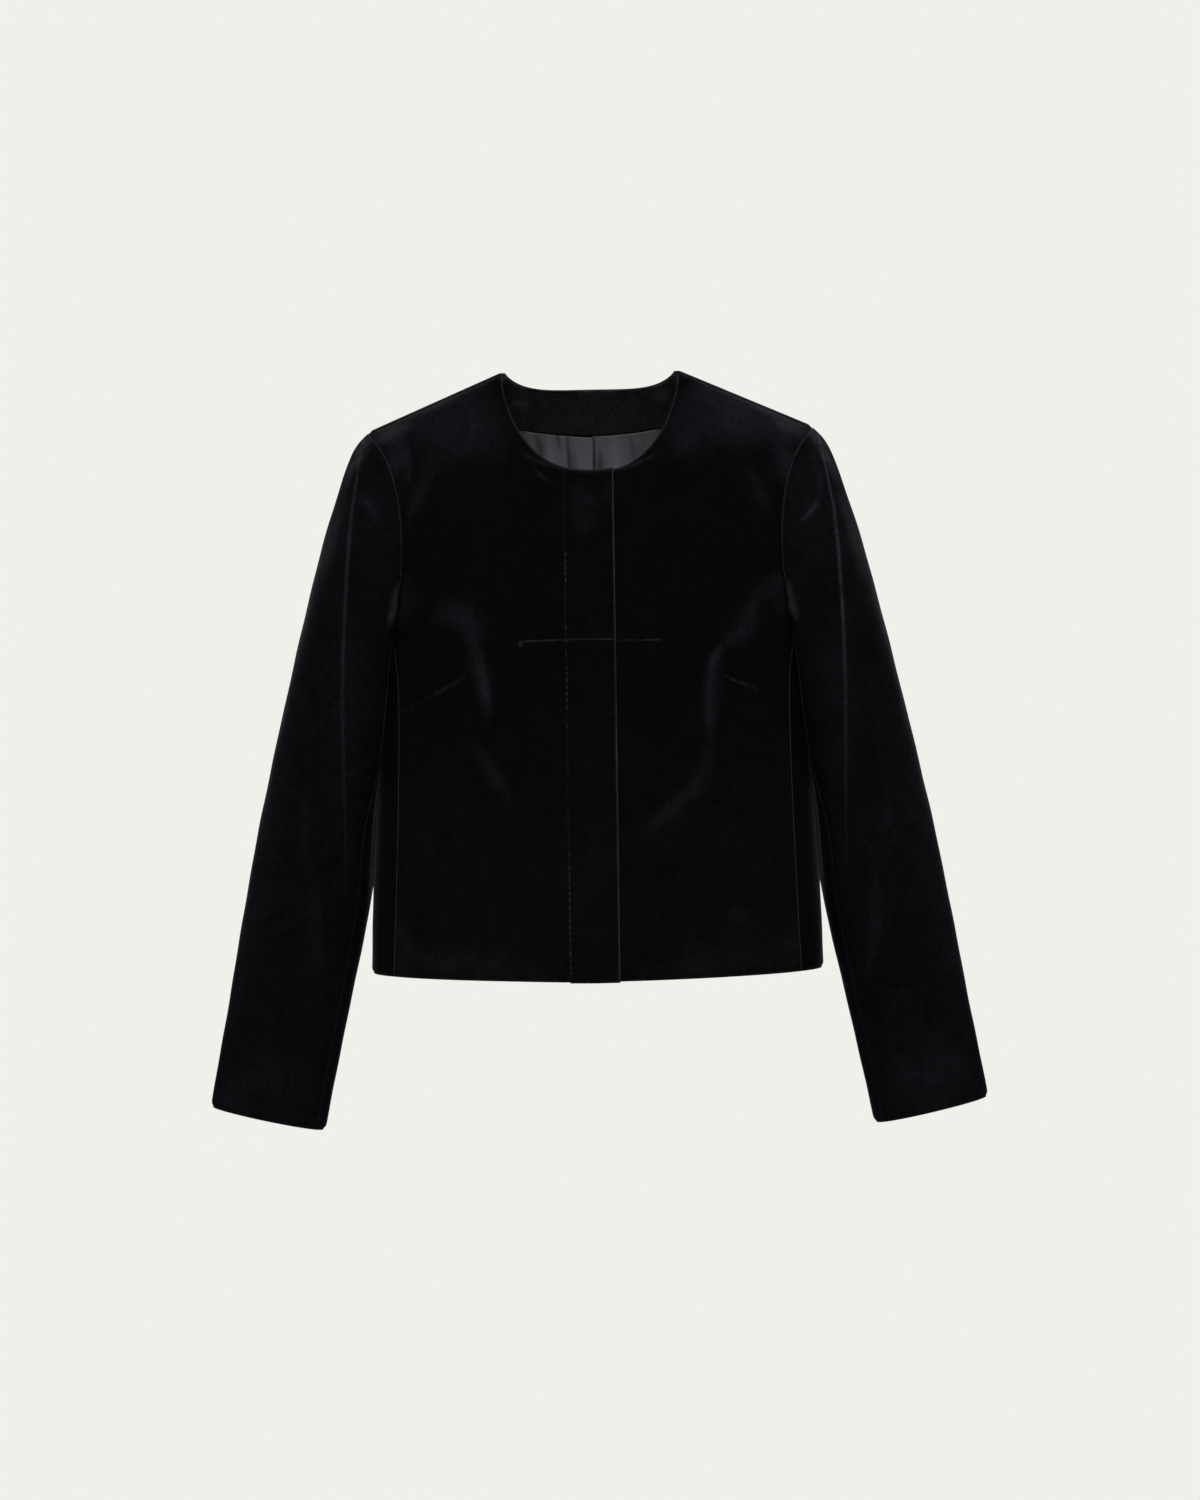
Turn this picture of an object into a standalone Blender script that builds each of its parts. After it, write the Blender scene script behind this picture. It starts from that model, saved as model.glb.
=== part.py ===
"""Collarless cropped velvet jacket, hollow and filled out as if worn.

Metres, +Z up, the front faces -Y and the wearer's right is at -X.
The origin lies between the shoulders, where they carry the jacket.
"""

import math

import bmesh
import bpy
import numpy as np

# Cloth
VELVET = 0.0022
PLACKET_CLOTH = 0.0030
FACING_CLOTH = 0.0014
LINING_CLOTH = 0.0010
SEAM_GAP = 0.0004
LAYER_GAP = 0.0008

# Shoulders and neck
NECK_HALF_WIDTH = 0.0765
NECK_POINT_Z = 0.0250
SHOULDER_TIP_X = 0.192
SHOULDER_SLOPE = 0.430
SEAM_FORWARD = 0.003
NECK_POINT_TURN = 8
FRONT_NECK_DROP = 0.0916
FRONT_NECK_ROUNDNESS = 2.6
FRONT_NECK_FLATNESS = 0.625
BACK_NECK_DROP = 0.0115
BACK_NECK_ROUNDNESS = 4.8
FRONT_SHOULDER_FALL = 0.150
BACK_SHOULDER_FALL = 0.110
SHOULDER_ROUNDING = 0.5

# Body
HEM_Z = -0.4995
HEM_RISE = 0.0040
HEM_RISE_CURVE = 1.2
HEM_RISE_X = 0.190
HEM_RISE_TOP_Z = -0.300
BODY_SQUARENESS = 2.6
LEAST_DEPTH_SHARE = 0.0003

# Height, half width, and depth of the front and of the back measured from the side line
BODY_SECTIONS = (
    (0.045, 0.220, 0.060, 0.088),
    (-0.030, 0.216, 0.064, 0.091),
    (-0.070, 0.209, 0.073, 0.094),
    (-0.130, 0.198, 0.094, 0.098),
    (-0.215, 0.188, 0.113, 0.098),
    (-0.313, 0.1872, 0.112, 0.093),
    (-0.413, 0.1935, 0.109, 0.090),
    (-0.500, 0.1965, 0.108, 0.093),
)

# The darts give each front a soft fullness, and a soft fold falls from it towards the hem
FULLNESS_X = 0.102
FULLNESS_Z = -0.205
FULLNESS_WIDTH = 0.052
FULLNESS_LENGTH = 0.065
FULLNESS_RISE = 0.007

FOLD_FULLNESS = 0.7
# Start x and z, end x and z, height of the ridge, and its half width
FRONT_FOLDS = (
    (-0.096, -0.200, -0.066, -0.350, 0.0034, 0.016),
    (0.114, -0.195, 0.078, -0.350, 0.0034, 0.016),
    (-0.150, -0.070, -0.166, -0.130, 0.0025, 0.014),
    (0.150, -0.070, 0.166, -0.130, 0.0025, 0.014),
)

# Armhole and panel seams: distance from the middle, and height
FRONT_ARMHOLE = (
    (0.192, -0.028),
    (0.180, -0.062),
    (0.1705, -0.105),
    (0.1675, -0.145),
    (0.1700, -0.175),
    (0.1765, -0.200),
)
BACK_ARMHOLE = (
    (0.192, -0.028),
    (0.184, -0.062),
    (0.1765, -0.105),
    (0.1735, -0.145),
    (0.1745, -0.175),
    (0.1775, -0.200),
)
FRONT_SEAM = (
    (0.1765, -0.200),
    (0.1715, -0.240),
    (0.1680, -0.280),
    (0.1680, -0.350),
    (0.1695, -0.430),
    (0.1705, HEM_Z),
)
BACK_SEAM = (
    (0.1775, -0.200),
    (0.1730, -0.240),
    (0.1700, -0.300),
    (0.1690, -0.370),
    (0.1705, -0.440),
    (0.1725, HEM_Z),
)
UNDERARM_DIP = 0.026
UNDERARM_ROUNDNESS = 0.9

# Fly front: the wearer's right front laps over the left
PLACKET_STITCH_X = -0.023
PLACKET_EDGE_X = 0.019
PLACKET_HEM_DROP = 0.0008
UNDERLAP_X = -0.016
LAP_LIFT = PLACKET_CLOTH + SEAM_GAP
LAP_LIFT_RUN = 0.060

# Back neck facing and back lining
FACING_BOTTOM_Z = -0.026
FACING_BOTTOM_CURVE = 1.45
FACING_STAND_OFF = 0.0014
FACING_STAND_OFF_X = 0.055
FACING_STAND_OFF_RUN = 0.012
LINING_TOP_DROP = 0.014
LINING_HEM_UP = 0.022
LINING_PLEAT_X = -0.002
LINING_PLEAT_WIDTH = 0.030
LINING_PLEAT_RISE = 0.0035

# Sleeve rings: outer point, inner point, depth before and behind the middle, the middle's y;
# the drape ridge that falls from the shoulder tip, its angle from the outer point and its height;
# and where and how far the ring lies against the body
SLEEVE_SECTIONS = (
    (0.1920, -0.0247, 0.1885, -0.2260, 0.052, 0.050, 0.000, 5, 0.000, 150, 0.0),
    (0.2075, -0.0480, 0.1888, -0.2290, 0.058, 0.054, 0.000, 22, 0.003, 150, 0.0),
    (0.2240, -0.0900, 0.1891, -0.2325, 0.063, 0.058, 0.001, 50, 0.005, 150, 0.2),
    (0.2390, -0.1400, 0.1894, -0.2370, 0.066, 0.062, 0.002, 74, 0.006, 150, 0.6),
    (0.2520, -0.1920, 0.1898, -0.2450, 0.066, 0.064, 0.003, 88, 0.006, 152, 1.0),
    (0.2690, -0.2620, 0.1905, -0.2780, 0.061, 0.061, 0.005, 101, 0.006, 160, 1.0),
    (0.2853, -0.3320, 0.1915, -0.3500, 0.053, 0.054, 0.007, 115, 0.005, 188, 1.0),
    (0.2994, -0.4000, 0.1965, -0.4240, 0.045, 0.047, 0.005, 128, 0.003, 208, 0.4),
    (0.3113, -0.4660, 0.2080, -0.4900, 0.039, 0.040, -0.001, 138, 0.001, 212, 0.0),
    (0.3231, -0.5340, 0.2227, -0.5565, 0.033, 0.034, -0.009, 140, 0.000, 212, 0.0),
    (0.3356, -0.6078, 0.2374, -0.6296, 0.028, 0.029, -0.018, 140, 0.000, 212, 0.0),
)
SLEEVE_SQUARENESS = 2.2
SLEEVE_RIDGE_WIDTH_DEG = 30
SLEEVE_HUG_WIDTH_DEG = 34
SLEEVE_GIRTH_RADIUS = 0.045
SLEEVE_HEAD_ROWS = 4.0
SLEEVE_CLEARANCE = 0.0022
SLEEVE_CLEARANCE_TOP_Z = -0.200
SLEEVE_CLEARANCE_FULL_Z = -0.245
# Seams of the two-piece sleeve, as angles from the outer line at the armhole, the elbow and the cuff
SLEEVE_FRONT_SEAM_DEG = (140, 138, 152)
SLEEVE_BACK_SEAM_DEG = (228, 226, 222)
SLEEVE_SEAM_ROWS = (0, 6, 10)

# Divisions of the walls
NECK_STEPS, SHOULDER_STEPS, ARMHOLE_STEPS, SIDE_STEPS = 6, 6, 8, 12
SIDE_PANEL_STEPS = 6
SLEEVE_LENGTH_STEPS = 22
LAST_ROW = len(SLEEVE_SECTIONS) - 1
LOOP_STEPS = 2 * ARMHOLE_STEPS + SIDE_PANEL_STEPS
LOOP_FINENESS = 8
ARMHOLE_CROWDING = 1.35
SLEEVE_SEAM_INSET = 0.014
PLACKET_STEPS, FACING_ROWS, FACING_SHOULDER_STEPS, LINING_ROWS = 3, 6, 1, 12
LINING_INSET_COLUMNS = 0.4
LINING_PLEAT_COLUMNS = (-2.4, -1.4, -0.5, -0.2, 0.0)
SIDE_RADIUS = 0.105
SHARP_ANGLE_DEG = 40

# Fineness of the curves that the walls are read from, and of the search for a seam's gap
CURVE_FINENESS = 40
NECK_FINENESS = 200
GAP_HALVINGS = 40
# Small steps for normals: on the body, round the sleeve and down it
DIFFERENCE = 0.0002
SLEEVE_TURN = 0.05
SLEEVE_STEP = 0.02
# How strongly the sleeve's first row takes the body's normals
ARMHOLE_PULL = 4

# Base colour and roughness
FINISHES = {
    "velvet": ((0.006, 0.006, 0.008, 1), 0.85),
    "lining": ((0.060, 0.060, 0.066, 1), 0.40),
}


# Curves through short tables

def smooth_rows(rows, at):
    """A smooth curve through the rows of a table, read at row positions given as an array."""
    rows = np.asarray(rows, float)
    at = np.clip(np.asarray(at, float), 0, len(rows) - 1)
    low = np.minimum(at.astype(int), len(rows) - 2)
    part = (at - low)[..., None]
    before = rows[np.maximum(low - 1, 0)]
    after = rows[np.minimum(low + 2, len(rows) - 1)]
    start, end = rows[low], rows[low + 1]
    slope_start = (end - before) / 2
    slope_end = (after - start) / 2
    return (
        start * (2 * part**3 - 3 * part**2 + 1)
        + slope_start * (part**3 - 2 * part**2 + part)
        + end * (3 * part**2 - 2 * part**3)
        + slope_end * (part**3 - part**2)
    )


def along(points, shares):
    """Points at the given shares of a smooth curve's length."""
    dense = smooth_rows(points, np.linspace(0, len(points) - 1, CURVE_FINENESS * len(points)))
    steps = np.linalg.norm(np.diff(dense, axis=0), axis=1)
    length = np.concatenate([[0], np.cumsum(steps)])
    wanted = np.asarray(shares) * length[-1]
    return np.stack([np.interp(wanted, length, column) for column in dense.T], axis=-1)


def ease(share):
    """0 to 1 with a flat start and end."""
    share = np.clip(share, 0, 1)
    return share * share * (3 - 2 * share)


# The form of the body: x runs across, drop is the height below the shoulder ridge, negative in front

def ridge_z(x):
    reach = np.abs(x)
    outside = NECK_POINT_Z - SHOULDER_SLOPE * (reach - NECK_HALF_WIDTH)
    inside = NECK_POINT_Z + SHOULDER_SLOPE * (NECK_HALF_WIDTH**2 - reach**2) / (2 * NECK_HALF_WIDTH)
    return np.where(reach > NECK_HALF_WIDTH, outside, inside)


def body_section(z):
    """Half width, front depth and back depth at a height."""
    table = np.array(BODY_SECTIONS)
    row = np.interp(-np.asarray(z, float), -table[:, 0], np.arange(len(table)))
    section = smooth_rows(table, row)
    return section[..., 1], section[..., 2], section[..., 3]


def front_relief(x, z):
    """How far the darts and the soft folds bring the front forward."""
    rise = np.zeros(np.shape(x))
    for side in (-1, 1):
        across = (x - side * FULLNESS_X) / FULLNESS_WIDTH
        down = (z - FULLNESS_Z) / FULLNESS_LENGTH
        rise = rise + FULLNESS_RISE * np.exp(-(across**2) - down**2)
    for x0, z0, x1, z1, height, width in FRONT_FOLDS:
        length = math.hypot(x1 - x0, z1 - z0)
        way = ((x - x0) * (x1 - x0) + (z - z0) * (z1 - z0)) / length**2
        off = ((x - x0) * (z1 - z0) - (z - z0) * (x1 - x0)) / length
        fade = np.sin(np.pi * np.clip(way, 0, 1)) ** FOLD_FULLNESS
        rise = rise + height * fade * np.exp(-((off / width) ** 2))
    return rise


def hung(x, y, z):
    """Points of the body, with the hem a little higher at the sides than at the middle."""
    low = ease((HEM_RISE_TOP_Z - z) / (HEM_RISE_TOP_Z - HEM_Z))
    z = z + HEM_RISE * (np.abs(x) / HEM_RISE_X) ** HEM_RISE_CURVE * low
    return np.stack(np.broadcast_arrays(x, y, z), axis=-1)


def body_point(x, drop):
    """A point of the body's outer face."""
    x, drop = np.broadcast_arrays(np.asarray(x, float), np.asarray(drop, float))
    z = ridge_z(x) - np.abs(drop)
    half, front, back = body_section(z)
    depth = np.where(drop < 0, front, back)
    reach = np.where(drop < 0, FRONT_SHOULDER_FALL, BACK_SHOULDER_FALL)
    share = np.clip(np.abs(drop) / reach, 0, 1)
    fall = (1 - (1 - share) ** 2) ** SHOULDER_ROUNDING
    across = np.sqrt(np.maximum(1 - (np.abs(x) / half) ** BODY_SQUARENESS, LEAST_DEPTH_SHARE))
    y = np.sign(drop) * depth * across * fall
    y = np.where(drop < 0, y - front_relief(x, z) * share, y)
    return hung(x, y, z)


def side_point(angle, z, side):
    """A point of the outer face round the side: angle 0 is the side line, negative is to the front."""
    half, front, back = body_section(z)
    x = side * half * np.cos(angle) ** (2 / BODY_SQUARENESS)
    y = np.where(angle < 0, front, back) * np.sin(angle)
    return hung(x, y, z)


def normals(function, first, second):
    """Unit normals of a surface function of two arrays, from small differences."""
    step = DIFFERENCE
    across = function(first + step, second) - function(first - step, second)
    down = function(first, second + step) - function(first, second - step)
    found = np.cross(across, down)
    return found / np.linalg.norm(found, axis=-1, keepdims=True)


# Outlines of the body's panels, as x and drop

def front_neck_z(x):
    share = np.clip(np.abs(x) / NECK_HALF_WIDTH, 0, 1)
    return NECK_POINT_Z - FRONT_NECK_DROP * (1 - share**FRONT_NECK_ROUNDNESS) ** FRONT_NECK_FLATNESS


def back_neck_z(x):
    share = np.clip(np.abs(x) / NECK_HALF_WIDTH, 0, 1)
    return NECK_POINT_Z - BACK_NECK_DROP * (1 - share**BACK_NECK_ROUNDNESS)


def front_outline(points):
    """Points given as x and height, as x and drop on the front."""
    points = np.asarray(points, float)
    return np.stack([points[:, 0], points[:, 1] - ridge_z(points[:, 0])], axis=-1)


def back_outline(points):
    """Points given as x and height, as x and drop on the back."""
    points = np.asarray(points, float)
    return np.stack([points[:, 0], ridge_z(points[:, 0]) - points[:, 1]], axis=-1)


def neck_curve(from_x, neck_z, outline, steps):
    """The neck edge from near the middle to the seam at the neck point, its points evenly spread."""
    turn = np.linspace(0, 1, NECK_FINENESS)
    x = from_x + (NECK_HALF_WIDTH - from_x) * np.sin(turn * math.pi / 2)
    edge = outline(np.stack([x, neck_z(x)], axis=-1))
    edge[:, 1] -= SEAM_FORWARD * (x / NECK_HALF_WIDTH) ** NECK_POINT_TURN
    return along(edge, np.linspace(0, 1, steps + 1))


def shoulder_curve(steps):
    """The shoulder seam from the neck point to the tip, a little forward of the ridge."""
    x = np.linspace(NECK_HALF_WIDTH, SHOULDER_TIP_X, steps + 1)
    return np.stack([x, np.full(len(x), -SEAM_FORWARD)], axis=-1)


def armhole_edge(armhole, outline, steps):
    """An armhole from the shoulder tip down, with closer points at the top."""
    edge = outline(along(armhole, np.linspace(0, 1, steps + 1) ** ARMHOLE_CROWDING))
    edge[0] = (SHOULDER_TIP_X, -SEAM_FORWARD)
    return edge


def side_edge(armhole, seam, outline):
    """The armhole and the seam below it, from the shoulder tip to the hem."""
    lower = outline(along(seam, np.linspace(0, 1, SIDE_STEPS + 1)))
    return np.concatenate([armhole_edge(armhole, outline, ARMHOLE_STEPS), lower[1:]])


def hem_curve(from_x, to_x, outline, steps):
    x = np.linspace(from_x, to_x, steps + 1)
    return outline(np.stack([x, np.full(len(x), HEM_Z)], axis=-1))


def fill(top, bottom, left, right):
    """A grid of points between four edges, rows from top to bottom and columns from left to right."""
    across = np.linspace(0, 1, len(top))[None, :, None]
    down = np.linspace(0, 1, len(left))[:, None, None]
    upright = (1 - down) * top[None] + down * bottom[None]
    level = (1 - across) * left[:, None] + across * right[:, None]
    corners = (
        (1 - across) * (1 - down) * top[0]
        + across * (1 - down) * top[-1]
        + (1 - across) * down * bottom[0]
        + across * down * bottom[-1]
    )
    return upright + level - corners


def level_with(edge, x, outline, top_z):
    """An upright edge at one x whose rows go down in step with those of another edge."""
    drop = np.abs(edge[:, 1])
    share = (drop - drop[0]) / (drop[-1] - drop[0])
    z = top_z + (HEM_Z - top_z) * share
    return outline(np.stack([np.full(len(z), x), z], axis=-1))


def inset(grid, surface):
    """The grid's border moved in by half a seam gap, measured on the surface that the grid lies on."""
    grid = np.array(grid)
    borders = (
        (grid[0], grid[1]),
        (grid[-1], grid[-2]),
        (grid[:, 0], grid[:, 1]),
        (grid[:, -1], grid[:, -2]),
    )
    for line, inner in borders:
        way = inner - line
        start = surface(line[:, 0], line[:, 1])
        moved = np.zeros((len(line), 1))
        stride = 0.5
        for _ in range(GAP_HALVINGS):
            tried = line + way * (moved + stride)
            distance = np.linalg.norm(surface(tried[:, 0], tried[:, 1]) - start, axis=-1, keepdims=True)
            moved = np.where(distance < SEAM_GAP / 2, moved + stride, moved)
            stride /= 2
        line += way * moved
    return grid


# Walls and objects

def material(name):
    made = bpy.data.materials.get(name)
    if made is None:
        colour, roughness = FINISHES[name]
        made = bpy.data.materials.new(name)
        made.use_nodes = True
        shader = made.node_tree.nodes["Principled BSDF"]
        shader.inputs["Base Color"].default_value = colour
        shader.inputs["Roughness"].default_value = roughness
        shader.inputs["Metallic"].default_value = 0
    return made


def cloth_wall(name, outer, inner, finish):
    """A closed wall between two grids of points: a grid drawn out from its outer face to its inner face."""
    rows, columns = outer.shape[:2]
    bm = bmesh.new()
    within = bm.verts.layers.float_vector.new("within")
    bmesh.ops.create_grid(bm, x_segments=columns - 1, y_segments=rows - 1, size=1)
    for vert, out, back in zip(bm.verts, outer.reshape(-1, 3), inner.reshape(-1, 3)):
        vert.co = out
        vert[within] = back
    drawn = bmesh.ops.extrude_face_region(bm, geom=bm.faces[:], use_keep_orig=True)
    for item in drawn["geom"]:
        if isinstance(item, bmesh.types.BMVert):
            item.co = item[within]
    bmesh.ops.recalc_face_normals(bm, faces=bm.faces[:])
    mesh = bpy.data.meshes.new(name)
    bm.to_mesh(mesh)
    bm.free()
    mesh.shade_smooth()
    mesh.set_sharp_from_angle(angle=math.radians(SHARP_ANGLE_DEG))
    obj = bpy.data.objects.new(name, mesh)
    obj.data.materials.append(finish)
    JACKET.objects.link(obj)
    return obj


def body_wall(name, grid, thickness, finish, lift=0.0):
    """A wall on the body's form, its outer face moved out by the lift. Gives inner points and normals."""
    x, drop = grid[..., 0], grid[..., 1]
    outward = normals(body_point, x, drop)
    outer = body_point(x, drop) + outward * np.broadcast_to(lift, x.shape)[..., None]
    inner = outer - outward * thickness
    cloth_wall(name, outer, inner, finish)
    return inner, outward


# Body panels

def front_panel(name, side, edge_x, lift):
    """One front, from its edge near the middle to its armhole and side seam."""
    neck = neck_curve(edge_x * side, front_neck_z, front_outline, NECK_STEPS)
    top = np.concatenate([neck, shoulder_curve(SHOULDER_STEPS)[1:]])
    right = side_edge(FRONT_ARMHOLE, FRONT_SEAM, front_outline)
    left = level_with(right, edge_x * side, front_outline, front_neck_z(edge_x))
    bottom = hem_curve(edge_x * side, FRONT_SEAM[-1][0], front_outline, len(top) - 1)
    grid = inset(fill(top, bottom, left, right), body_point)
    grid[..., 0] *= side
    rise = lift * (1 - ease(np.abs(grid[..., 0] - edge_x) / LAP_LIFT_RUN))
    body_wall(name, grid, VELVET, material("velvet"), rise)


def placket():
    """The fly band of the wearer's right front, lying on the left front's underlap."""
    x = np.linspace(PLACKET_STITCH_X, PLACKET_EDGE_X, PLACKET_STEPS + 1)
    rows = side_edge(FRONT_ARMHOLE, FRONT_SEAM, front_outline)
    columns = [level_with(rows, place, front_outline, front_neck_z(place)) for place in x]
    grid = inset(np.stack(columns, axis=1), body_point)
    grid[-1, :, 1] -= PLACKET_HEM_DROP
    body_wall("placket", grid, PLACKET_CLOTH, material("velvet"), LAP_LIFT)


def back_panel():
    """The back, from shoulder seam and neck to the hem."""
    half_neck = neck_curve(0, back_neck_z, back_outline, NECK_STEPS)
    half_top = np.concatenate([half_neck, shoulder_curve(SHOULDER_STEPS)[1:]])
    mirrored = half_top[:0:-1] * (-1, 1)
    top = np.concatenate([mirrored, half_top])
    right = side_edge(BACK_ARMHOLE, BACK_SEAM, back_outline)
    left = right * (-1, 1)
    bottom = hem_curve(-BACK_SEAM[-1][0], BACK_SEAM[-1][0], back_outline, len(top) - 1)
    grid = inset(fill(top, bottom, left, right), body_point)
    inner, outward = body_wall("back", grid, VELVET, material("velvet"))
    return grid, inner, outward


def seam_angle(x, z):
    half = body_section(z)[0]
    return np.arccos(np.clip(x / half, 0, 1) ** (BODY_SQUARENESS / 2))


def side_panel_place(across, down):
    """Angle and height on the side panel: across runs from front to back seam, down to the hem."""
    front = along(FRONT_SEAM, down)
    back = along(BACK_SEAM, down)
    front_angle = -seam_angle(front[..., 0], front[..., 1])
    back_angle = seam_angle(back[..., 0], back[..., 1])
    angle = front_angle + (back_angle - front_angle) * across
    dip = UNDERARM_DIP * np.sin(np.pi * across) ** UNDERARM_ROUNDNESS * (1 - down) ** 2
    z = front[..., 1] + (back[..., 1] - front[..., 1]) * across - dip
    return angle, z


def side_panel(name, side):
    """The panel under the arm, between the front and the back."""
    columns, rows = np.linspace(0, 1, SIDE_PANEL_STEPS + 1), np.linspace(0, 1, SIDE_STEPS + 1)
    across, down = np.meshgrid(columns, rows)
    angle, z = side_panel_place(across, down)

    def surface(arc, height):
        return side_point(arc / SIDE_RADIUS, height, side)

    place = inset(np.stack([angle * SIDE_RADIUS, z], axis=-1), surface)
    outward = side * normals(surface, place[..., 0], place[..., 1])
    outer = surface(place[..., 0], place[..., 1])
    cloth_wall(name, outer, outer - outward * VELVET, material("velvet"))


# Sleeves

def armhole_loop():
    """The armhole of the +X side from the tip round by the front: points and the body's normals."""
    front = armhole_edge(FRONT_ARMHOLE, front_outline, ARMHOLE_STEPS * LOOP_FINENESS)
    back = armhole_edge(BACK_ARMHOLE, back_outline, ARMHOLE_STEPS * LOOP_FINENESS)[::-1]
    across = np.linspace(0, 1, SIDE_PANEL_STEPS * LOOP_FINENESS + 1)[1:-1]
    angle, under_z = side_panel_place(across, np.zeros(len(across)))
    arc = angle * SIDE_RADIUS

    def under(arc, height):
        return side_point(arc / SIDE_RADIUS, height, 1)

    points = [
        body_point(front[:, 0], front[:, 1]),
        under(arc, under_z),
        body_point(back[:, 0], back[:, 1]),
    ]
    outward = [
        normals(body_point, front[:, 0], front[:, 1]),
        normals(under, arc, under_z),
        normals(body_point, back[:, 0], back[:, 1]),
    ]
    return np.concatenate(points), np.concatenate(outward)


def read_loop(values, place):
    """Values along the armhole. Places count the panels' points from the tip, the front first."""
    index = np.mod(place, LOOP_STEPS) * LOOP_FINENESS
    return np.stack([np.interp(index, np.arange(len(values)), column) for column in values.T], axis=-1)


def sleeve_angle(place, row):
    """The angle from the outer line at which a place of the armhole is carried on down the sleeve."""
    place = np.where(place > LOOP_STEPS / 2 + SIDE_PANEL_STEPS / 2, place - LOOP_STEPS, place)
    front = np.interp(row, SLEEVE_SEAM_ROWS, SLEEVE_FRONT_SEAM_DEG)
    back = np.interp(row, SLEEVE_SEAM_ROWS, SLEEVE_BACK_SEAM_DEG)
    even = np.clip(np.abs(place) / ARMHOLE_STEPS, 0, 1)
    even_out = ease(row / SLEEVE_HEAD_ROWS)
    share = even**ARMHOLE_CROWDING * (1 - even_out) + even * even_out
    top = share * np.where(place < 0, back - 360, front)
    under = front + (back - front) * (place - ARMHOLE_STEPS) / SIDE_PANEL_STEPS
    return np.where(place > ARMHOLE_STEPS, under, top)


def body_side_x(y, z):
    """How far the body's side reaches out at a depth and a height."""
    half, front, back = body_section(z)
    share = np.clip(np.abs(y) / np.where(y < 0, front, back), 0, 1)
    return half * (1 - share**2) ** (1 / BODY_SQUARENESS)


def turned(angle, centre, width):
    """A soft window round a direction, in degrees."""
    away = np.mod(angle - centre + 180, 360) - 180
    return np.exp(-((away / width) ** 2))


def sleeve_ring(angle, row):
    """A point of the plain sleeve of the +X side, before its head is fitted to the armhole."""
    table = smooth_rows(SLEEVE_SECTIONS, row)
    outer_x, outer_z, inner_x, inner_z, front, back, middle_y = np.moveaxis(table[..., :7], -1, 0)
    ridge_angle, ridge, hug_angle, hug = np.moveaxis(table[..., 7:], -1, 0)
    cosine, sine = np.cos(np.radians(angle)), np.sin(np.radians(angle))
    out = np.sign(cosine) * np.abs(cosine) ** (2 / SLEEVE_SQUARENESS)
    forth = np.sign(sine) * np.abs(sine) ** (2 / SLEEVE_SQUARENESS)
    depth = np.where(sine > 0, front, back)
    swell = 1 + ridge / SLEEVE_GIRTH_RADIUS * turned(angle, ridge_angle, SLEEVE_RIDGE_WIDTH_DEG)
    x = (outer_x + inner_x) / 2 + (outer_x - inner_x) / 2 * out * swell
    y = middle_y - depth * forth * swell
    z = (outer_z + inner_z) / 2 + (outer_z - inner_z) / 2 * out * swell
    against = body_side_x(y, z) + SLEEVE_CLEARANCE
    x += hug * turned(angle, hug_angle, SLEEVE_HUG_WIDTH_DEG) * np.minimum(against - x, 0)
    return np.stack([x, y, z], axis=-1)


def clear_of_body(points):
    """Moves points of the +X sleeve out until they hang just clear of the body's side."""
    points = np.array(points)
    z = points[..., 2]
    sunk = ease((SLEEVE_CLEARANCE_TOP_Z - z) / (SLEEVE_CLEARANCE_TOP_Z - SLEEVE_CLEARANCE_FULL_Z))
    side_x = body_side_x(points[..., 1], z) + SLEEVE_CLEARANCE * sunk
    beside = (z < SLEEVE_CLEARANCE_TOP_Z) & (z > HEM_Z - SLEEVE_CLEARANCE)
    points[..., 0] = np.where(beside, np.maximum(points[..., 0], side_x), points[..., 0])
    return points


class Sleeve:
    """The whole sleeve of one side as a surface of the place on the armhole and the row down the arm."""

    def __init__(self, side):
        self.side = side
        self.loop, self.loop_outward = armhole_loop()

    def point(self, place, row):
        place, row = np.broadcast_arrays(np.asarray(place, float), np.asarray(row, float))
        start = np.zeros(np.shape(row))
        fit = read_loop(self.loop, place) - sleeve_ring(sleeve_angle(place, start), start)
        kept = (1 - ease(row / SLEEVE_HEAD_ROWS))[..., None]
        points = clear_of_body(sleeve_ring(sleeve_angle(place, row), row) + fit * kept)
        points[..., 0] += SEAM_GAP
        return points * (self.side, 1, 1)

    def outward(self, place, row):
        """Normals, which meet the body's own where the sleeve runs on smoothly from the armhole."""
        low, high = np.maximum(row - SLEEVE_STEP, 0), np.minimum(row + SLEEVE_STEP, LAST_ROW)
        around = self.point(place + SLEEVE_TURN, row) - self.point(place - SLEEVE_TURN, row)
        length = self.point(place, high) - self.point(place, low)
        found = -self.side * np.cross(length, around)
        found /= np.linalg.norm(found, axis=-1, keepdims=True)
        body = read_loop(self.loop_outward, place) * (self.side, 1, 1)
        alike = np.clip(np.sum(found * body, axis=-1), 0, 1) * ARMHOLE_PULL * (1 - ease(row))
        found = found + body * alike[..., None]
        return found / np.linalg.norm(found, axis=-1, keepdims=True)

    def wall(self, name, from_place, to_place):
        """A part of the sleeve between two seams, with the armhole's own points at its head."""
        rows = np.linspace(0, LAST_ROW, SLEEVE_LENGTH_STEPS + 1)
        places = np.arange(from_place, to_place + 1, dtype=float)
        places[0] += SLEEVE_SEAM_INSET
        places[-1] -= SLEEVE_SEAM_INSET
        row, place = np.meshgrid(rows, places, indexing="ij")
        outer = self.point(place, row)
        inner = outer - self.outward(place, row) * VELVET
        cloth_wall(name, outer, inner, material("velvet"))


def sleeve(word, side):
    """A two-piece sleeve: the top sleeve over the arm and the under sleeve towards the body."""
    made = Sleeve(side)
    made.wall(f"sleeve_top_{word}", -ARMHOLE_STEPS, ARMHOLE_STEPS)
    made.wall(f"sleeve_under_{word}", ARMHOLE_STEPS, ARMHOLE_STEPS + SIDE_PANEL_STEPS)


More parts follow.
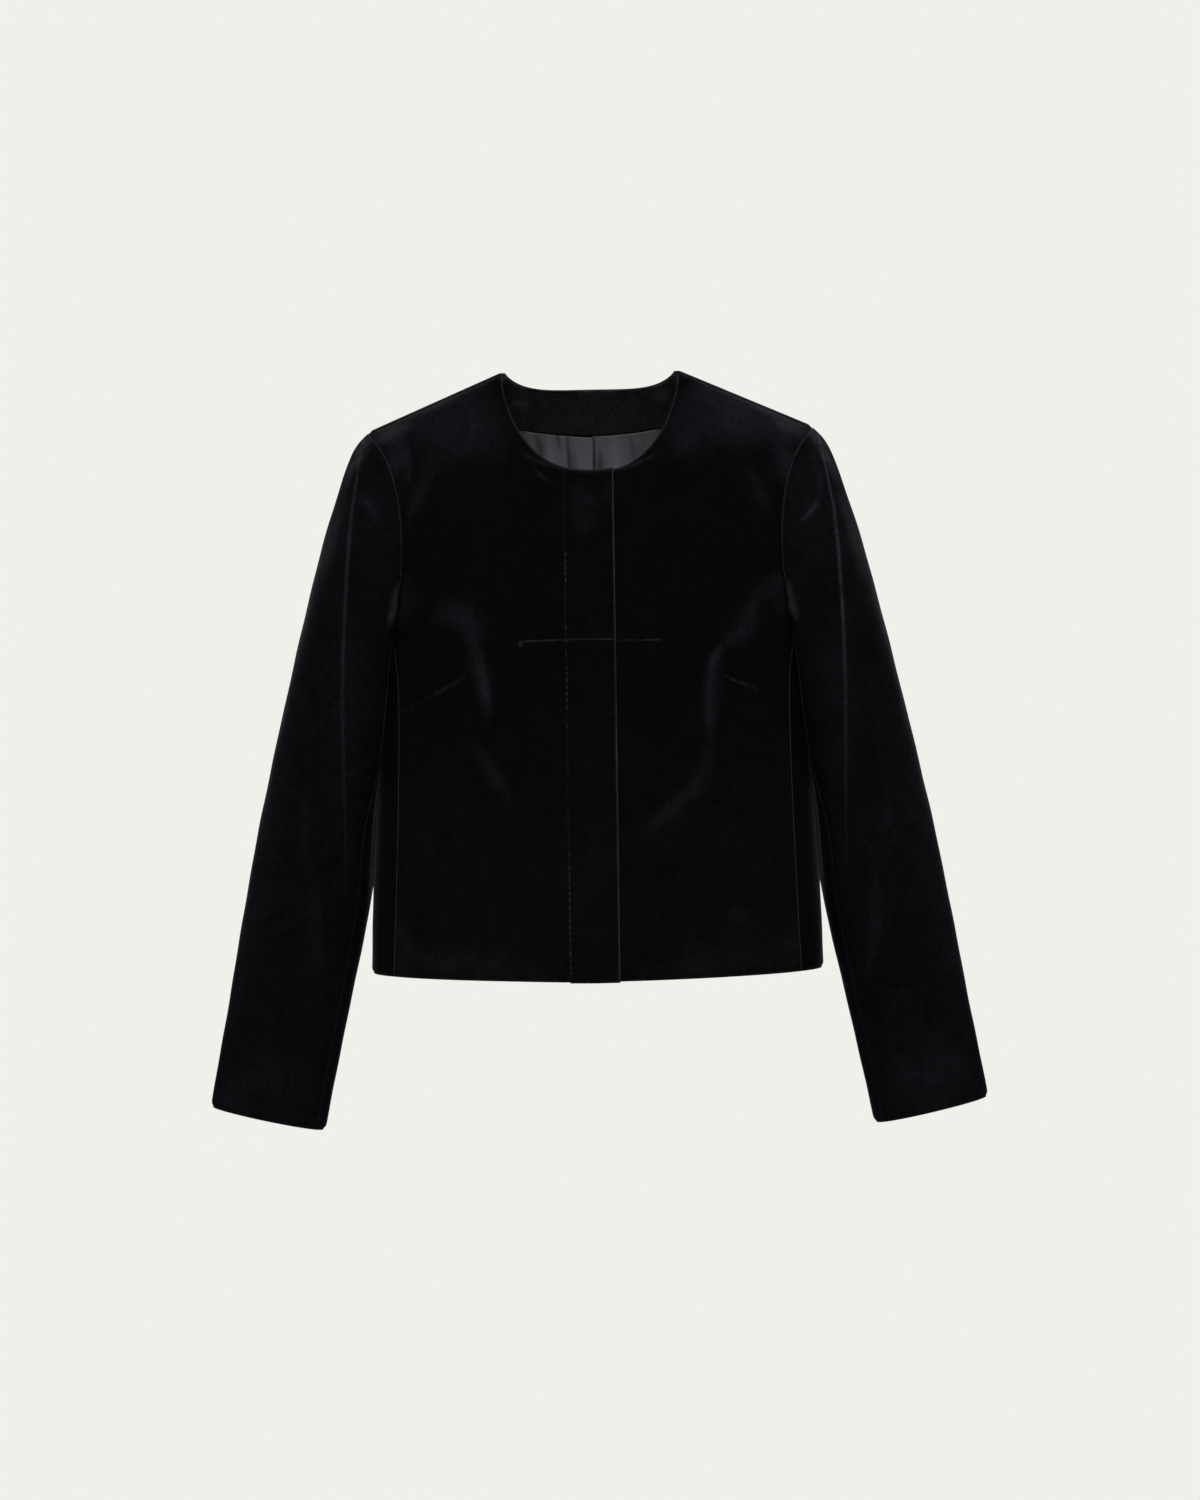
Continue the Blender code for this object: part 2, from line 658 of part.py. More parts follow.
# Inside the back

def read_grid(values, rows, columns):
    """Values at fractional rows and columns, so that what they make lies on the wall's own faces."""
    low_row = np.clip(rows.astype(int), 0, values.shape[0] - 2)
    low_column = np.clip(columns.astype(int), 0, values.shape[1] - 2)
    down = (rows - low_row)[..., None]
    across = (columns - low_column)[..., None]
    upper = values[low_row, low_column] * (1 - across) + values[low_row, low_column + 1] * across
    lower = values[low_row + 1, low_column] * (1 - across) + values[low_row + 1, low_column + 1] * across
    return upper * (1 - down) + lower * down


def rows_at(grid, columns, wanted_drop):
    """The fractional row of each column where the back reaches the drop that is wanted at its x."""
    rows = np.arange(len(grid), dtype=float)
    found = []
    for column in columns:
        line = read_grid(grid, rows, np.full(len(rows), column))
        found.append(np.interp(0, line[:, 1] - wanted_drop(line[:, 0]), rows))
    return np.array(found)


def inner_layer(name, back, lines, steps, thickness, shape, finish):
    """A layer of cloth on the inside of the back, between two lines of fractional rows of its columns.

    The shape gives how far the layer stands off the back and how far its inner face rises, for each x.
    """
    grid, inner, outward = back
    top, bottom, columns = lines
    share = np.linspace(0, 1, steps + 1)[:, None]
    rows = top + (bottom - top) * share
    columns = np.broadcast_to(columns, rows.shape)
    normal = read_grid(outward, rows, columns)
    stand_off, rise = shape(read_grid(grid, rows, columns)[..., 0])
    outer = read_grid(inner, rows, columns) - normal * (LAYER_GAP + stand_off)[..., None]
    cloth_wall(name, outer, outer - normal * (thickness + rise)[..., None], finish)


def facing_bottom(x):
    return ridge_z(x) - (FACING_BOTTOM_Z + FACING_BOTTOM_CURVE * x**2)


def lining_top(x):
    return np.maximum(facing_bottom(x) + SEAM_GAP, LINING_TOP_DROP)


def lining_bottom(x):
    return ridge_z(x) - HEM_Z - LINING_HEM_UP


def facing_shape(x):
    """The facing is flat, and stands off a little at the neck points, where the back is most curved."""
    off = FACING_STAND_OFF * ease((np.abs(x) - FACING_STAND_OFF_X) / FACING_STAND_OFF_RUN)
    return off, np.zeros(x.shape)


def lining_shape(x):
    """The lining has a pleat at the centre back, a fold that lies to one side of its edge."""
    share = np.clip((LINING_PLEAT_X - x) / LINING_PLEAT_WIDTH, 0, 1)
    rise = np.where(x < LINING_PLEAT_X, LINING_PLEAT_RISE * (1 - ease(share)), 0)
    return np.zeros(x.shape), rise


def back_neck_facing(back):
    """The velvet facing inside the back neck."""
    middle = NECK_STEPS + SHOULDER_STEPS
    reach = NECK_STEPS + FACING_SHOULDER_STEPS
    columns = np.arange(middle - reach, middle + reach + 1, dtype=float)
    bottom = rows_at(back[0], columns, facing_bottom)
    velvet = material("velvet")
    top = np.zeros(len(columns))
    lines = (top, bottom, columns)
    inner_layer("back_neck_facing", back, lines, FACING_ROWS, FACING_CLOTH, facing_shape, velvet)


def lining_back(back):
    """The satin lining of the back, below the facing."""
    middle = NECK_STEPS + SHOULDER_STEPS
    pleat = middle + np.array(LINING_PLEAT_COLUMNS)
    right = np.arange(1.0, pleat[0])
    left = np.arange(middle + 1.0, 2 * middle)
    edge = LINING_INSET_COLUMNS
    columns = np.concatenate([[edge], right, pleat, left, [2 * middle - edge]])
    top = rows_at(back[0], columns, lining_top)
    bottom = rows_at(back[0], columns, lining_bottom)
    satin = material("lining")
    lines = (top, bottom, columns)
    inner_layer("lining_back", back, lines, LINING_ROWS, LINING_CLOTH, lining_shape, satin)


for old in list(bpy.data.objects):
    bpy.data.objects.remove(old)
JACKET = bpy.data.collections.new("velvet_jacket")
bpy.context.scene.collection.children.link(JACKET)

front_panel("front_right", -1, PLACKET_STITCH_X, LAP_LIFT)
front_panel("front_left", 1, UNDERLAP_X, 0)
placket()
side_panel("side_right", -1)
side_panel("side_left", 1)
back_wall = back_panel()
back_neck_facing(back_wall)
lining_back(back_wall)
sleeve("right", -1)
sleeve("left", 1)
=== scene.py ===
"""The looks of the cropped velvet jacket: sewn cloth, thread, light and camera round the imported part.

Metres, +Z up, the front faces -Y and the wearer's right is at -X, as in the part.
"""

import math

import bpy
import numpy as np
from mathutils import Matrix, Vector


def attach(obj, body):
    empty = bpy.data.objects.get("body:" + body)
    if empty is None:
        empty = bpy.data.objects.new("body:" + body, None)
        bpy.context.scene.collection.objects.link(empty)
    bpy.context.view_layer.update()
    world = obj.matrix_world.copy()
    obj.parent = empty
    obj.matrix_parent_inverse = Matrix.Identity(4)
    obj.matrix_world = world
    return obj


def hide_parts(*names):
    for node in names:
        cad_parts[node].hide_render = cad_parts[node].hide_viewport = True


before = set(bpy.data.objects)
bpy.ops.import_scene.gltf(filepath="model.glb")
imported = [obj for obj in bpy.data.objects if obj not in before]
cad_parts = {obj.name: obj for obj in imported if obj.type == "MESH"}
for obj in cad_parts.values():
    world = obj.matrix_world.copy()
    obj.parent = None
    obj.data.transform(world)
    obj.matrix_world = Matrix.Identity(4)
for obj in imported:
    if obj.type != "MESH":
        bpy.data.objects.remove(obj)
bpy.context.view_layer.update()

# Sizes of the part: some edges and seams are fitted to the photograph,
# and lie a few millimetres from where its solids have them

# Thickness of each cloth, and the gaps at seams and between layers
VELVET_CLOTH = 0.0022
PLACKET_CLOTH = 0.0030
FACING_CLOTH = 0.0014
LINING_CLOTH = 0.0010
SEAM_GAP = 0.0004
LAYER_GAP = 0.0008

# Neck and shoulders
NECK_HALF_WIDTH = 0.0765
NECK_POINT_Z = 0.0250
SHOULDER_TIP_X = 0.192
SHOULDER_SLOPE = 0.430
SEAM_FORWARD = 0.003
NECK_POINT_TURN = 8
FRONT_NECK_DROP = 0.0916
FRONT_NECK_ROUNDNESS = 2.6
FRONT_NECK_FLATNESS = 0.625
BACK_NECK_DROP = 0.0090
BACK_NECK_ROUNDNESS = 4.8
FRONT_SHOULDER_FALL = 0.150
BACK_SHOULDER_FALL = 0.110

# Hem and body
HEM_Z = -0.4995
HEM_RISE = 0.0040
HEM_RISE_CURVE = 1.2
HEM_RISE_X = 0.190
HEM_RISE_TOP_Z = -0.300
BODY_SQUARENESS = 2.6
LEAST_DEPTH_SHARE = 0.0003

# Height, half width, and depth of the front and of the back measured from the side line
BODY_SECTIONS = (
    (0.045, 0.220, 0.060, 0.088),
    (-0.030, 0.216, 0.064, 0.091),
    (-0.070, 0.209, 0.073, 0.094),
    (-0.130, 0.198, 0.094, 0.098),
    (-0.215, 0.188, 0.113, 0.098),
    (-0.313, 0.1872, 0.112, 0.093),
    (-0.413, 0.1935, 0.109, 0.090),
    (-0.500, 0.1965, 0.108, 0.093),
)
# Fullness that the bust darts give: its place, reach and rise
FULLNESS_X = 0.102
FULLNESS_Z = -0.205
FULLNESS_WIDTH = 0.052
FULLNESS_LENGTH = 0.065
FULLNESS_RISE = 0.007

# Armholes and panel seams of the +X side, from the top down, as x and height
FRONT_ARMHOLE = (
    (0.192, -0.028),
    (0.180, -0.043),
    (0.1705, -0.065),
    (0.1643, -0.095),
    (0.1622, -0.130),
    (0.1640, -0.160),
    (0.1687, -0.183),
    (0.1745, -0.200),
)
BACK_ARMHOLE = (
    (0.192, -0.028),
    (0.184, -0.062),
    (0.1765, -0.105),
    (0.1735, -0.145),
    (0.1745, -0.175),
    (0.1775, -0.200),
)
FRONT_SEAM = (
    (0.1745, -0.200),
    (0.1697, -0.228),
    (0.1677, -0.260),
    (0.1690, -0.340),
    (0.1720, -0.430),
    (0.1750, HEM_Z),
)
BACK_SEAM = (
    (0.1775, -0.200),
    (0.1730, -0.240),
    (0.1700, -0.300),
    (0.1690, -0.370),
    (0.1705, -0.440),
    (0.1725, HEM_Z),
)
# How far the armhole dips between the two seams
UNDERARM_DIP = 0.026
UNDERARM_ROUNDNESS = 0.9

# Fly band from its stitches to its free edge, and the front that it laps over
PLACKET_STITCH_X = -0.023
PLACKET_EDGE_X = 0.019
PLACKET_HEM_DROP = 0.0008
UNDERLAP_X = -0.016
LAP_LIFT = PLACKET_CLOTH + SEAM_GAP
LAP_LIFT_RUN = 0.060

# Facing and lining inside the back
FACING_BOTTOM_Z = -0.0229
FACING_BOTTOM_CURVE = 1.45
FACING_STAND_OFF = 0.0014
FACING_STAND_OFF_X = 0.055
FACING_STAND_OFF_RUN = 0.012
FACING_HALF_WIDTH = 0.0955
LINING_TOP_DROP = 0.014
LINING_HEM_UP = 0.022
LINING_REACH = 0.97
LINING_PLEAT_X = 0.002
LINING_PLEAT_WIDTH = 0.030
LINING_PLEAT_RISE = 0.0035

# Outer x and z, inner x and z, depth before and behind the middle, the middle's y,
# the drape ridge's angle and height, and the angle and share at which the ring lies against the body
SLEEVE_SECTIONS = (
    (0.1920, -0.0247, 0.1885, -0.2260, 0.052, 0.050, 0.000, 5, 0.000, 136, 0.6),
    (0.2075, -0.0480, 0.1888, -0.2290, 0.058, 0.054, 0.000, 22, 0.003, 136, 0.8),
    (0.2240, -0.0900, 0.1891, -0.2325, 0.063, 0.058, 0.001, 50, 0.005, 136, 0.9),
    (0.2390, -0.1400, 0.1894, -0.2370, 0.066, 0.062, 0.002, 74, 0.006, 136, 1.0),
    (0.2520, -0.1920, 0.1898, -0.2450, 0.066, 0.064, 0.003, 88, 0.006, 136, 1.0),
    (0.2690, -0.2620, 0.1905, -0.2780, 0.061, 0.061, 0.005, 101, 0.006, 142, 1.0),
    (0.2853, -0.3320, 0.1915, -0.3500, 0.053, 0.054, 0.007, 115, 0.005, 166, 1.0),
    (0.2994, -0.4000, 0.1965, -0.4240, 0.045, 0.047, 0.005, 128, 0.003, 208, 0.4),
    (0.3113, -0.4660, 0.2080, -0.4900, 0.039, 0.040, -0.001, 138, 0.001, 212, 0.0),
    (0.3231, -0.5340, 0.2227, -0.5565, 0.033, 0.034, -0.009, 140, 0.000, 212, 0.0),
    (0.3356, -0.6078, 0.2374, -0.6296, 0.028, 0.029, -0.018, 140, 0.000, 212, 0.0),
)
# Form of the sleeves, how they clear the body, and their seams as angles at some rows of the table
SLEEVE_SQUARENESS = 2.2
SLEEVE_RIDGE_WIDTH_DEG = 30
SLEEVE_HUG_WIDTH_DEG = 34
SLEEVE_GIRTH_RADIUS = 0.045
SLEEVE_HEAD_ROWS = 4.0
SLEEVE_CLEARANCE = 0.0022
SLEEVE_CLEARANCE_TOP_Z = -0.200
SLEEVE_CLEARANCE_FULL_Z = -0.245
SLEEVE_FRONT_SEAM_DEG = (140, 138, 152)
SLEEVE_BACK_SEAM_DEG = (228, 226, 222)
SLEEVE_SEAM_ROWS = (0, 6, 10)
SLEEVE_SEAM_INSET = 0.002
LAST_ROW = len(SLEEVE_SECTIONS) - 1
# Places counted round an armhole, closest together at the shoulder tip
ARMHOLE_PLACES = 8
UNDER_PLACES = 6
LOOP_PLACES = 2 * ARMHOLE_PLACES + UNDER_PLACES
ARMHOLE_CROWDING = 1.35
ARMHOLE_FIRST_STEP = 0.06

# Shares of a panel's outer edge at which the shoulder and the armhole end,
# how far down the middle those and the ends are, and between which shares the darts lie
SHOULDER_PART = 0.20
ARMHOLE_PART = 0.50
MIDDLE_SHARES = (0.0, 0.16, 0.40, 1.0)
DART_PART_START, DART_PART_END = 0.400, 0.448
# How round the cloth turns over the shoulder ridge
RIDGE_RADIUS = 0.030

# Divisions of the cloth
NECK_STEPS, BACK_NECK_STEPS = 84, 56
SHOULDER_STEPS, CHEST_STEPS, DART_STEPS, ARMPIT_STEPS, SIDE_STEPS = 40, 56, 40, 20, 110
SIDE_PANEL_STEPS = 40
PLACKET_STEPS = 30
SLEEVE_TOP_STEPS, SLEEVE_UNDER_STEPS, SLEEVE_LENGTH_STEPS = 280, 60, 160
FACING_STEPS, FACING_ROWS = 90, 16
LINING_MIDDLE_STEPS, LINING_SIDE_STEPS, LINING_ROWS = 170, 34, 110
# The finely divided share of the lining's width, and of its length at its top edge
LINING_MIDDLE, LINING_EDGE, LINING_EDGE_STEPS = 0.36, 0.004, 3
# Points for each row of a curve, how borders draw them together, and where folds die out at seams
CURVE_FINENESS = 60
EDGE_CROWDING = 0.7
SEAM_CALM = 0.014
# Lines along which a cut is measured, how near a point lies to one, and where a side panel's full rows start
CUT_LINES = 80
CUT_LINE_REACH = 0.004
SIDE_CUT_START = 0.2
NORMAL_STEP = 0.0005
LEAST_LENGTH = 1e-12

# How each kind of border is finished: how deep it rolls in and over what width,
# and how strong the painted highlight along it is and over what width
SEAM = (0.0009, 0.0017, 0.03, 0.0010)
ARMHOLE = (0.0011, 0.0017, 0.40, 0.0013)
TURNED = (0.0019, 0.0026, 0.13, 0.0018)
NECK_EDGE = (0.0019, 0.0026, 0.30, 0.0011)
FREE_EDGE = (0.0022, 0.0022, 0.62, 0.0011)
STITCHED = (0.0012, 0.0020, 0.08, 0.0010)
HIDDEN = (0.0, 0.001, 0.0, 0.001)

# Soft folds of the cloth, seen from the front: the path in millimetres as x and z, the height,
# and how far it reaches on the +X side and on the -X side of a path that goes down
FRONT_FOLDS = (
    (((-96, -200), (-84, -272), (-66, -350)), 3.4, 16, 16),
    (((114, -195), (98, -272), (78, -350)), 3.4, 16, 16),
    (((-150, -70), (-158, -100), (-166, -130)), 2.5, 14, 14),
    (((150, -70), (158, -100), (166, -130)), 2.5, 14, 14),
    (((-128, -66), (-142, -96), (-154, -124)), 1.6, 7, 9),
    (((126, -66), (140, -92), (154, -124)), 1.4, 9, 7),
    (((-132, -188), (-112, -187), (-97, -212), (-90, -242), (-84, -282)), 1.8, 7, 12),
    (((136, -188), (116, -210), (101, -232), (96, -270), (99, -297)), 1.8, 12, 7),
    (((-102, -306), (-84, -328), (-69, -352)), 1.5, 7, 12),
    (((99, -297), (88, -330), (66, -356)), 1.5, 12, 7),
    (((-150, -380), (-146, -430), (-148, -490)), 1.2, 18, 18),
    (((-96, -410), (-104, -450), (-104, -495)), 1.3, 18, 22),
    (((98, -400), (104, -450), (100, -495)), 1.2, 20, 18),
    (((142, -390), (146, -440), (146, -490)), 1.2, 16, 18),
)
BACK_FOLDS = (
    (((-92, -90), (-98, -170), (-86, -260)), 2.2, 26, 22),
    (((92, -90), (98, -170), (86, -260)), 2.2, 22, 26),
    (((-150, -150), (-128, -190), (-98, -214)), 1.8, 10, 14),
    (((152, -140), (128, -184), (94, -212)), 1.8, 14, 10),
    (((-60, -300), (-70, -390), (-66, -490)), 2.0, 24, 28),
    (((62, -310), (72, -400), (70, -490)), 2.0, 28, 24),
    (((-6, -330), (2, -410), (0, -490)), 1.3, 30, 30),
    (((-140, -330), (-146, -410), (-144, -490)), 1.4, 18, 22),
    (((140, -340), (146, -410), (144, -490)), 1.4, 22, 18),
)
# The same on the sleeves, both given as if on the +X side and seen from the front
LEFT_SLEEVE_FOLDS = (
    (((199, -40), (206, -92), (211, -150), (215, -250), (214, -345)), 2.0, 12, 4),
    (((195, -90), (187, -103), (176, -112)), 1.2, 4, 4),
    (((214, -345), (226, -390), (238, -418), (236, -470), (231, -525)), 2.2, 12, 6),
    (((262, -300), (268, -350), (272, -392)), 1.2, 12, 10),
    (((250, -360), (240, -392), (232, -410)), 1.6, 8, 10),
)
RIGHT_SLEEVE_FOLDS = (
    (((199, -44), (204, -92), (208, -130), (213, -207), (216, -293), (215, -365)), 2.0, 12, 4),
    (((215, -365), (228, -398), (240, -420), (238, -470), (233, -520)), 2.2, 12, 6),
    (((262, -310), (270, -350), (274, -396)), 1.2, 12, 10),
    (((252, -366), (244, -396), (234, -416)), 1.6, 8, 10),
)
SLEEVE_BACK_FOLDS = (
    (((262, -250), (248, -290), (226, -306)), 2.4, 9, 12),
    (((272, -300), (252, -326), (226, -334)), 2.6, 9, 12),
    (((278, -336), (262, -366), (236, -372)), 2.2, 9, 12),
    (((226, -100), (234, -170), (240, -240)), 1.6, 14, 16),
    (((282, -410), (288, -480), (296, -560)), 1.4, 14, 16),
)

# Sewn darts: the path in millimetres as x and z, the depth and the half width of the groove
FRONT_DARTS = (
    (((-166, -272), (-136, -257), (-109, -243)), 0.9, 1.6),
    (((168, -268), (136, -256), (108, -244)), 0.9, 1.5),
)
MIDDLE_DARTS = (
    (((-60, -214.4), (-22, -213.8), (20, -213.6), (58.5, -214.1)), 0.9, 0.9),
    (((-60.4, -212.0), (-60.2, -215.0), (-58.8, -218.4)), 0.9, 1.1),
)

# Painted highlights and painted sheen where the cloth turns, over the shoulders and at the outlines:
# the path in millimetres as x and z, the strength, and the reach on its +X and -X sides
FRONT_PAINTED_LIGHT = (
    (((-138, -194), (-118, -188), (-102, -200), (-97, -220)), 0.085, 12, 13),
    (((-107, -200), (-98, -215), (-93, -232), (-89, -249), (-87, -266), (-86, -282)), 0.138, 4, 9),
    (((-96, -223), (-93, -238), (-89, -257), (-87, -274)), 0.085, 2.2, 3),
    (((-103, -291), (-93, -308), (-83, -323), (-74, -337), (-70, -353)), 0.085, 3.5, 9),
    (((135, -178), (129, -201), (116, -212), (104, -220)), 0.090, 9, 7),
    (((158, -156), (140, -178), (122, -198)), 0.050, 8, 8),
    (((106, -217), (98, -237), (95, -258), (95, -279), (96, -300)), 0.145, 7, 4),
    (((96, -292), (92, -321), (83, -336), (68, -350), (50, -365), (38, -385)), 0.100, 8, 6),
    (((107, -216), (100, -228), (98, -240)), 0.120, 2.2, 2.2),
    (((-158, -40), (-157, -58), (-155, -76)), 0.090, 3, 4),
    (((-131, -50), (-145, -82), (-157, -118)), 0.066, 6, 7),
    (((131, -58), (142, -84), (153, -110)), 0.060, 6, 6),
    (((-84, 14), (-130, -8), (-188, -32)), 0.088, 24, 26),
    (((84, 14), (130, -8), (188, -32)), 0.155, 26, 24),
    (((-60, 32), (-150, -7), (-240, -45)), 0.420, 5, 9),
    (((60, 32), (150, -7), (240, -45)), 0.380, 9, 5),
    (((-152, -18), (-174, -29), (-196, -39)), 0.260, 7, 7),
    (((156, -20), (178, -29), (198, -39)), 0.200, 7, 7),
    (((-156, -34), (-169, -50), (-174, -70)), 0.090, 10, 10),
    (((-64, -46), (-42, -60.5), (0, -67), (42, -60.5), (64, -46)), 0.130, 3, 3),
    (((-84, -14), (-118, -40), (-150, -72)), 0.050, 22, 22),
    (((-160, -40), (-166, -64), (-166, -92)), 0.030, 10, 10),
    (((162, -30), (168, -54), (168, -84)), 0.110, 11, 12),
    (((90, -10), (120, -30), (146, -54)), 0.035, 18, 18),
    (((-84, 6), (-88, -24), (-76, -60)), 0.050, 20, 20),
    (((84, 6), (86, -24), (76, -60)), 0.080, 20, 20),
    (((-172, -478), (-120, -484), (-40, -492)), 0.060, 14, 14),
    (((30, -492), (110, -484), (172, -478)), 0.034, 14, 14),
    (((-168, -440), (-168, -470), (-168, -498)), 0.045, 12, 12),
    (((168, -440), (168, -470), (168, -498)), 0.035, 12, 12),
    (((-158, -150), (-160, -172), (-167, -198)), 0.050, 11, 11),
    (((157, -150), (160, -172), (167, -198)), 0.060, 11, 11),
    (((110, -440), (122, -452), (136, -456)), 0.040, 10, 10),
    (((-49, -60), (-45, -69), (-37, -76), (-28, -81)), 0.100, 1.2, 1.6),
    (((-14, -74), (-6, -100), (-10, -130)), 0.044, 12, 12),
    (((12, -70), (14, -84), (12, -100)), 0.035, 6, 6),
    (((-2, -60), (-2, -300), (-2, -520)), 0.012, 24, 24),
)
# Painted highlights along the darts: the path, the strength and the half width
DART_HIGHLIGHTS = (
    (((-166, -270.8), (-136, -255.8), (-109, -241.8)), 0.07, 0.9),
    (((-134, -255.2), (-118, -247.6), (-108.5, -241.7)), 0.16, 0.9),
    (((108, -242.6), (122, -248.8), (137, -254.6)), 0.18, 0.9),
    (((-60, -213.1), (-22, -212.5), (20, -212.3)), 0.22, 0.6),
    (((-56, -213.0), (-46, -212.9), (-30, -212.6)), 0.26, 0.6),
    (((4, -212.4), (12, -212.3), (19, -212.3)), 0.20, 0.6),
    (((19, -213.0), (38, -213.0), (58.5, -212.9)), 0.18, 0.6),
    (((42, -213.0), (50, -212.9), (58.5, -212.8)), 0.26, 0.6),
    (((-60.8, -212.0), (-60.6, -215.0), (-59.2, -218.4)), 0.40, 0.9),
)
# Painted highlights and painted sheen on the front of both sleeves, then what each adds
BOTH_SLEEVES_PAINTED_LIGHT = (
    (((172, 0), (196, -36), (216, -80)), 0.340, 7, 5),
    (((250, -200), (276, -300), (300, -420), (326, -560)), 0.036, 16, 20),
    (((206, -180), (208, -260), (214, -350)), 0.040, 16, 16),
)
LEFT_SLEEVE_PAINTED_LIGHT = BOTH_SLEEVES_PAINTED_LIGHT + (
    (((176, 70), (196, -24), (206, -92), (210, -150), (213.5, -250), (215, -420)), 0.420, 1.1, 0.9),
    (((195, -91), (188, -103), (177, -112)), 0.300, 1.8, 1.8),
    (((190, -48), (196, -70), (195, -91)), 0.060, 4, 4),
    (((206, -40), (228, -110), (250, -200)), 0.035, 14, 18),
    (((238, -405), (237, -450), (231, -510)), 0.065, 8, 4),
    (((242, -590), (280, -590), (322, -580)), 0.058, 30, 28),
    (((186, -60), (188, -110), (184, -160)), 0.016, 14, 14),
    (((252, -330), (250, -370), (252, -410)), 0.030, 6, 8),
)
RIGHT_SLEEVE_PAINTED_LIGHT = BOTH_SLEEVES_PAINTED_LIGHT + (
    (
        ((180, 70), (197, -30), (204, -92), (207, -130), (211.5, -207), (214.5, -293), (215, -440)),
        0.290,
        1.1,
        0.9,
    ),
    (((197, -82), (188, -98), (177, -113)), 0.070, 4, 4),
    (((206, -44), (228, -114), (250, -200)), 0.024, 14, 18),
    (((241, -410), (239, -455), (234, -512)), 0.044, 8, 4),
    (((242, -596), (280, -592), (322, -580)), 0.030, 30, 28),
    (((300, -570), (314, -592), (330, -612)), 0.030, 16, 16),
    (((186, -60), (190, -110), (186, -160)), 0.010, 14, 14),
    (((248, -330), (252, -380), (250, -420)), 0.030, 6, 8),
)
# Painted light on both faces of either sleeve: a painted highlight beside the armpit and painted sheen along
# the inside
SLEEVE_INNER_PAINTED_LIGHT = (
    (((165, -158), (169, -180), (175, -200)), 0.280, 3.5, 3.5),
    (((206, -300), (214, -400), (228, -480)), 0.022, 18, 18),
)
# Painted light on the back: painted highlights over the shoulders and painted sheen along the folds
BACK_PAINTED_LIGHT = (
    (((-84, 12), (-130, -12), (-188, -38)), 0.070, 26, 26),
    (((84, 12), (130, -12), (188, -38)), 0.070, 26, 26),
    (((-60, 32), (-150, -7), (-240, -45)), 0.160, 7, 9),
    (((60, 32), (150, -7), (240, -45)), 0.160, 9, 7),
    (((-96, -80), (-104, -160), (-90, -250)), 0.030, 15, 9),
    (((90, -100), (100, -180), (86, -280)), 0.026, 8, 16),
    (((-64, -300), (-74, -390), (-66, -490)), 0.022, 14, 9),
    (((58, -330), (70, -410), (72, -490)), 0.026, 9, 13),
    (((-160, -478), (0, -486), (160, -478)), 0.030, 16, 16),
)
# Painted sheen along the folds and the outer side at the back of the sleeves
SLEEVE_BACK_PAINTED_LIGHT = (
    (((260, -250), (246, -288), (226, -304)), 0.080, 4, 7),
    (((270, -300), (250, -324), (226, -332)), 0.080, 4, 7),
    (((252, -110), (268, -230), (284, -320)), 0.040, 14, 18),
    (((284, -410), (300, -500), (312, -590)), 0.040, 14, 18),
)
# Painted highlights at the sides of the facing
FACING_PAINTED_LIGHT = (
    (((-76, 7), (-66, 4), (-52, 2)), 0.55, 3.0, 3.0),
    (((74, 16), (67, 8), (58, 4)), 0.34, 3.2, 3.2),
)
# On the lining, seen through the neck: folds, and painted shade (the pleat's shadow, a shadow under the
# facing, shade in the rumples) and painted highlights, in the same columns
LINING_FOLDS = (
    (((-30, -20), (-28, -60), (-32, -120)), 1.3, 5, 4),
    (((-14, -20), (-12, -70), (-10, -160)), 1.0, 4, 6),
    (((30, -24), (36, -70), (34, -140)), 1.0, 9, 7),
    (((-58, -20), (-52, -80), (-54, -170)), 1.0, 9, 8),
    (((62, -20), (56, -90), (60, -170)), 0.9, 8, 9),
    (((-90, -120), (-84, -250), (-92, -400)), 1.4, 18, 14),
    (((88, -130), (82, -260), (90, -410)), 1.4, 14, 18),
)
LINING_PAINTED_SHADE_AND_LIGHT = (
    (((-66, -15.5), (0, -23), (66, -15.5)), -0.30, 1.2, 1.2),
    (((3.2, -10), (3.0, -40), (3.0, -120)), -0.95, 1.1, 0.9),
    (((8.0, -30), (8.0, -46), (7.5, -90)), -0.55, 4.0, 3.4),
    (((-23, -10), (-20, -42), (-18, -90)), -0.52, 2.6, 1.6),
    (((-33, -12), (-29, -26), (-26, -40)), -0.50, 1.6, 1.6),
    (((-15, -34), (-14, -52), (-14, -80)), -0.22, 2.2, 2.6),
    (((-52, -12), (-46, -32), (-42, -60)), -0.36, 3.0, 3.6),
    (((30, -14), (38, -34), (42, -70)), -0.24, 2.4, 2.4),
    (((48, -12), (47, -34), (44, -60)), -0.15, 3.0, 3.0),
    (((-66, -8), (-60, -30), (-56, -60)), -0.30, 5.0, 5.0),
    (((66, -8), (61, -30), (58, -60)), -0.30, 5.0, 5.0),
    (((-7, -12), (-6, -44), (-5, -90)), 0.06, 7.0, 6.0),
    (((20, -14), (22, -44), (22, -90)), 0.28, 8.0, 6.0),
    (((-39, -12), (-37, -36), (-35, -70)), 0.24, 4.5, 4.0),
)

# The row of stitches beside the fly band's edge
STITCH_INSET = 0.0006
STITCH_PITCH = 0.0056
STITCH_LENGTH = 0.0034
STITCH_RADIUS = 0.00032
STITCH_SIDES = 8
STITCH_ROUNDING, STITCH_ROUND_STEPS = 0.6, 2
STITCH_SINK, STITCH_UNEVEN, STITCH_UNEVEN_TURN = 0.00030, 0.00012, 1.7
# Height, rise and reach of each stretch where the stitches show more
STITCH_SHOWS = ((-0.155, 0.00048, 0.030), (-0.480, 0.00046, 0.040))

# Soft strokes are tables in millimetres, followed in straight parts
MILLIMETRE = 0.001
STROKE_PARTS = 14
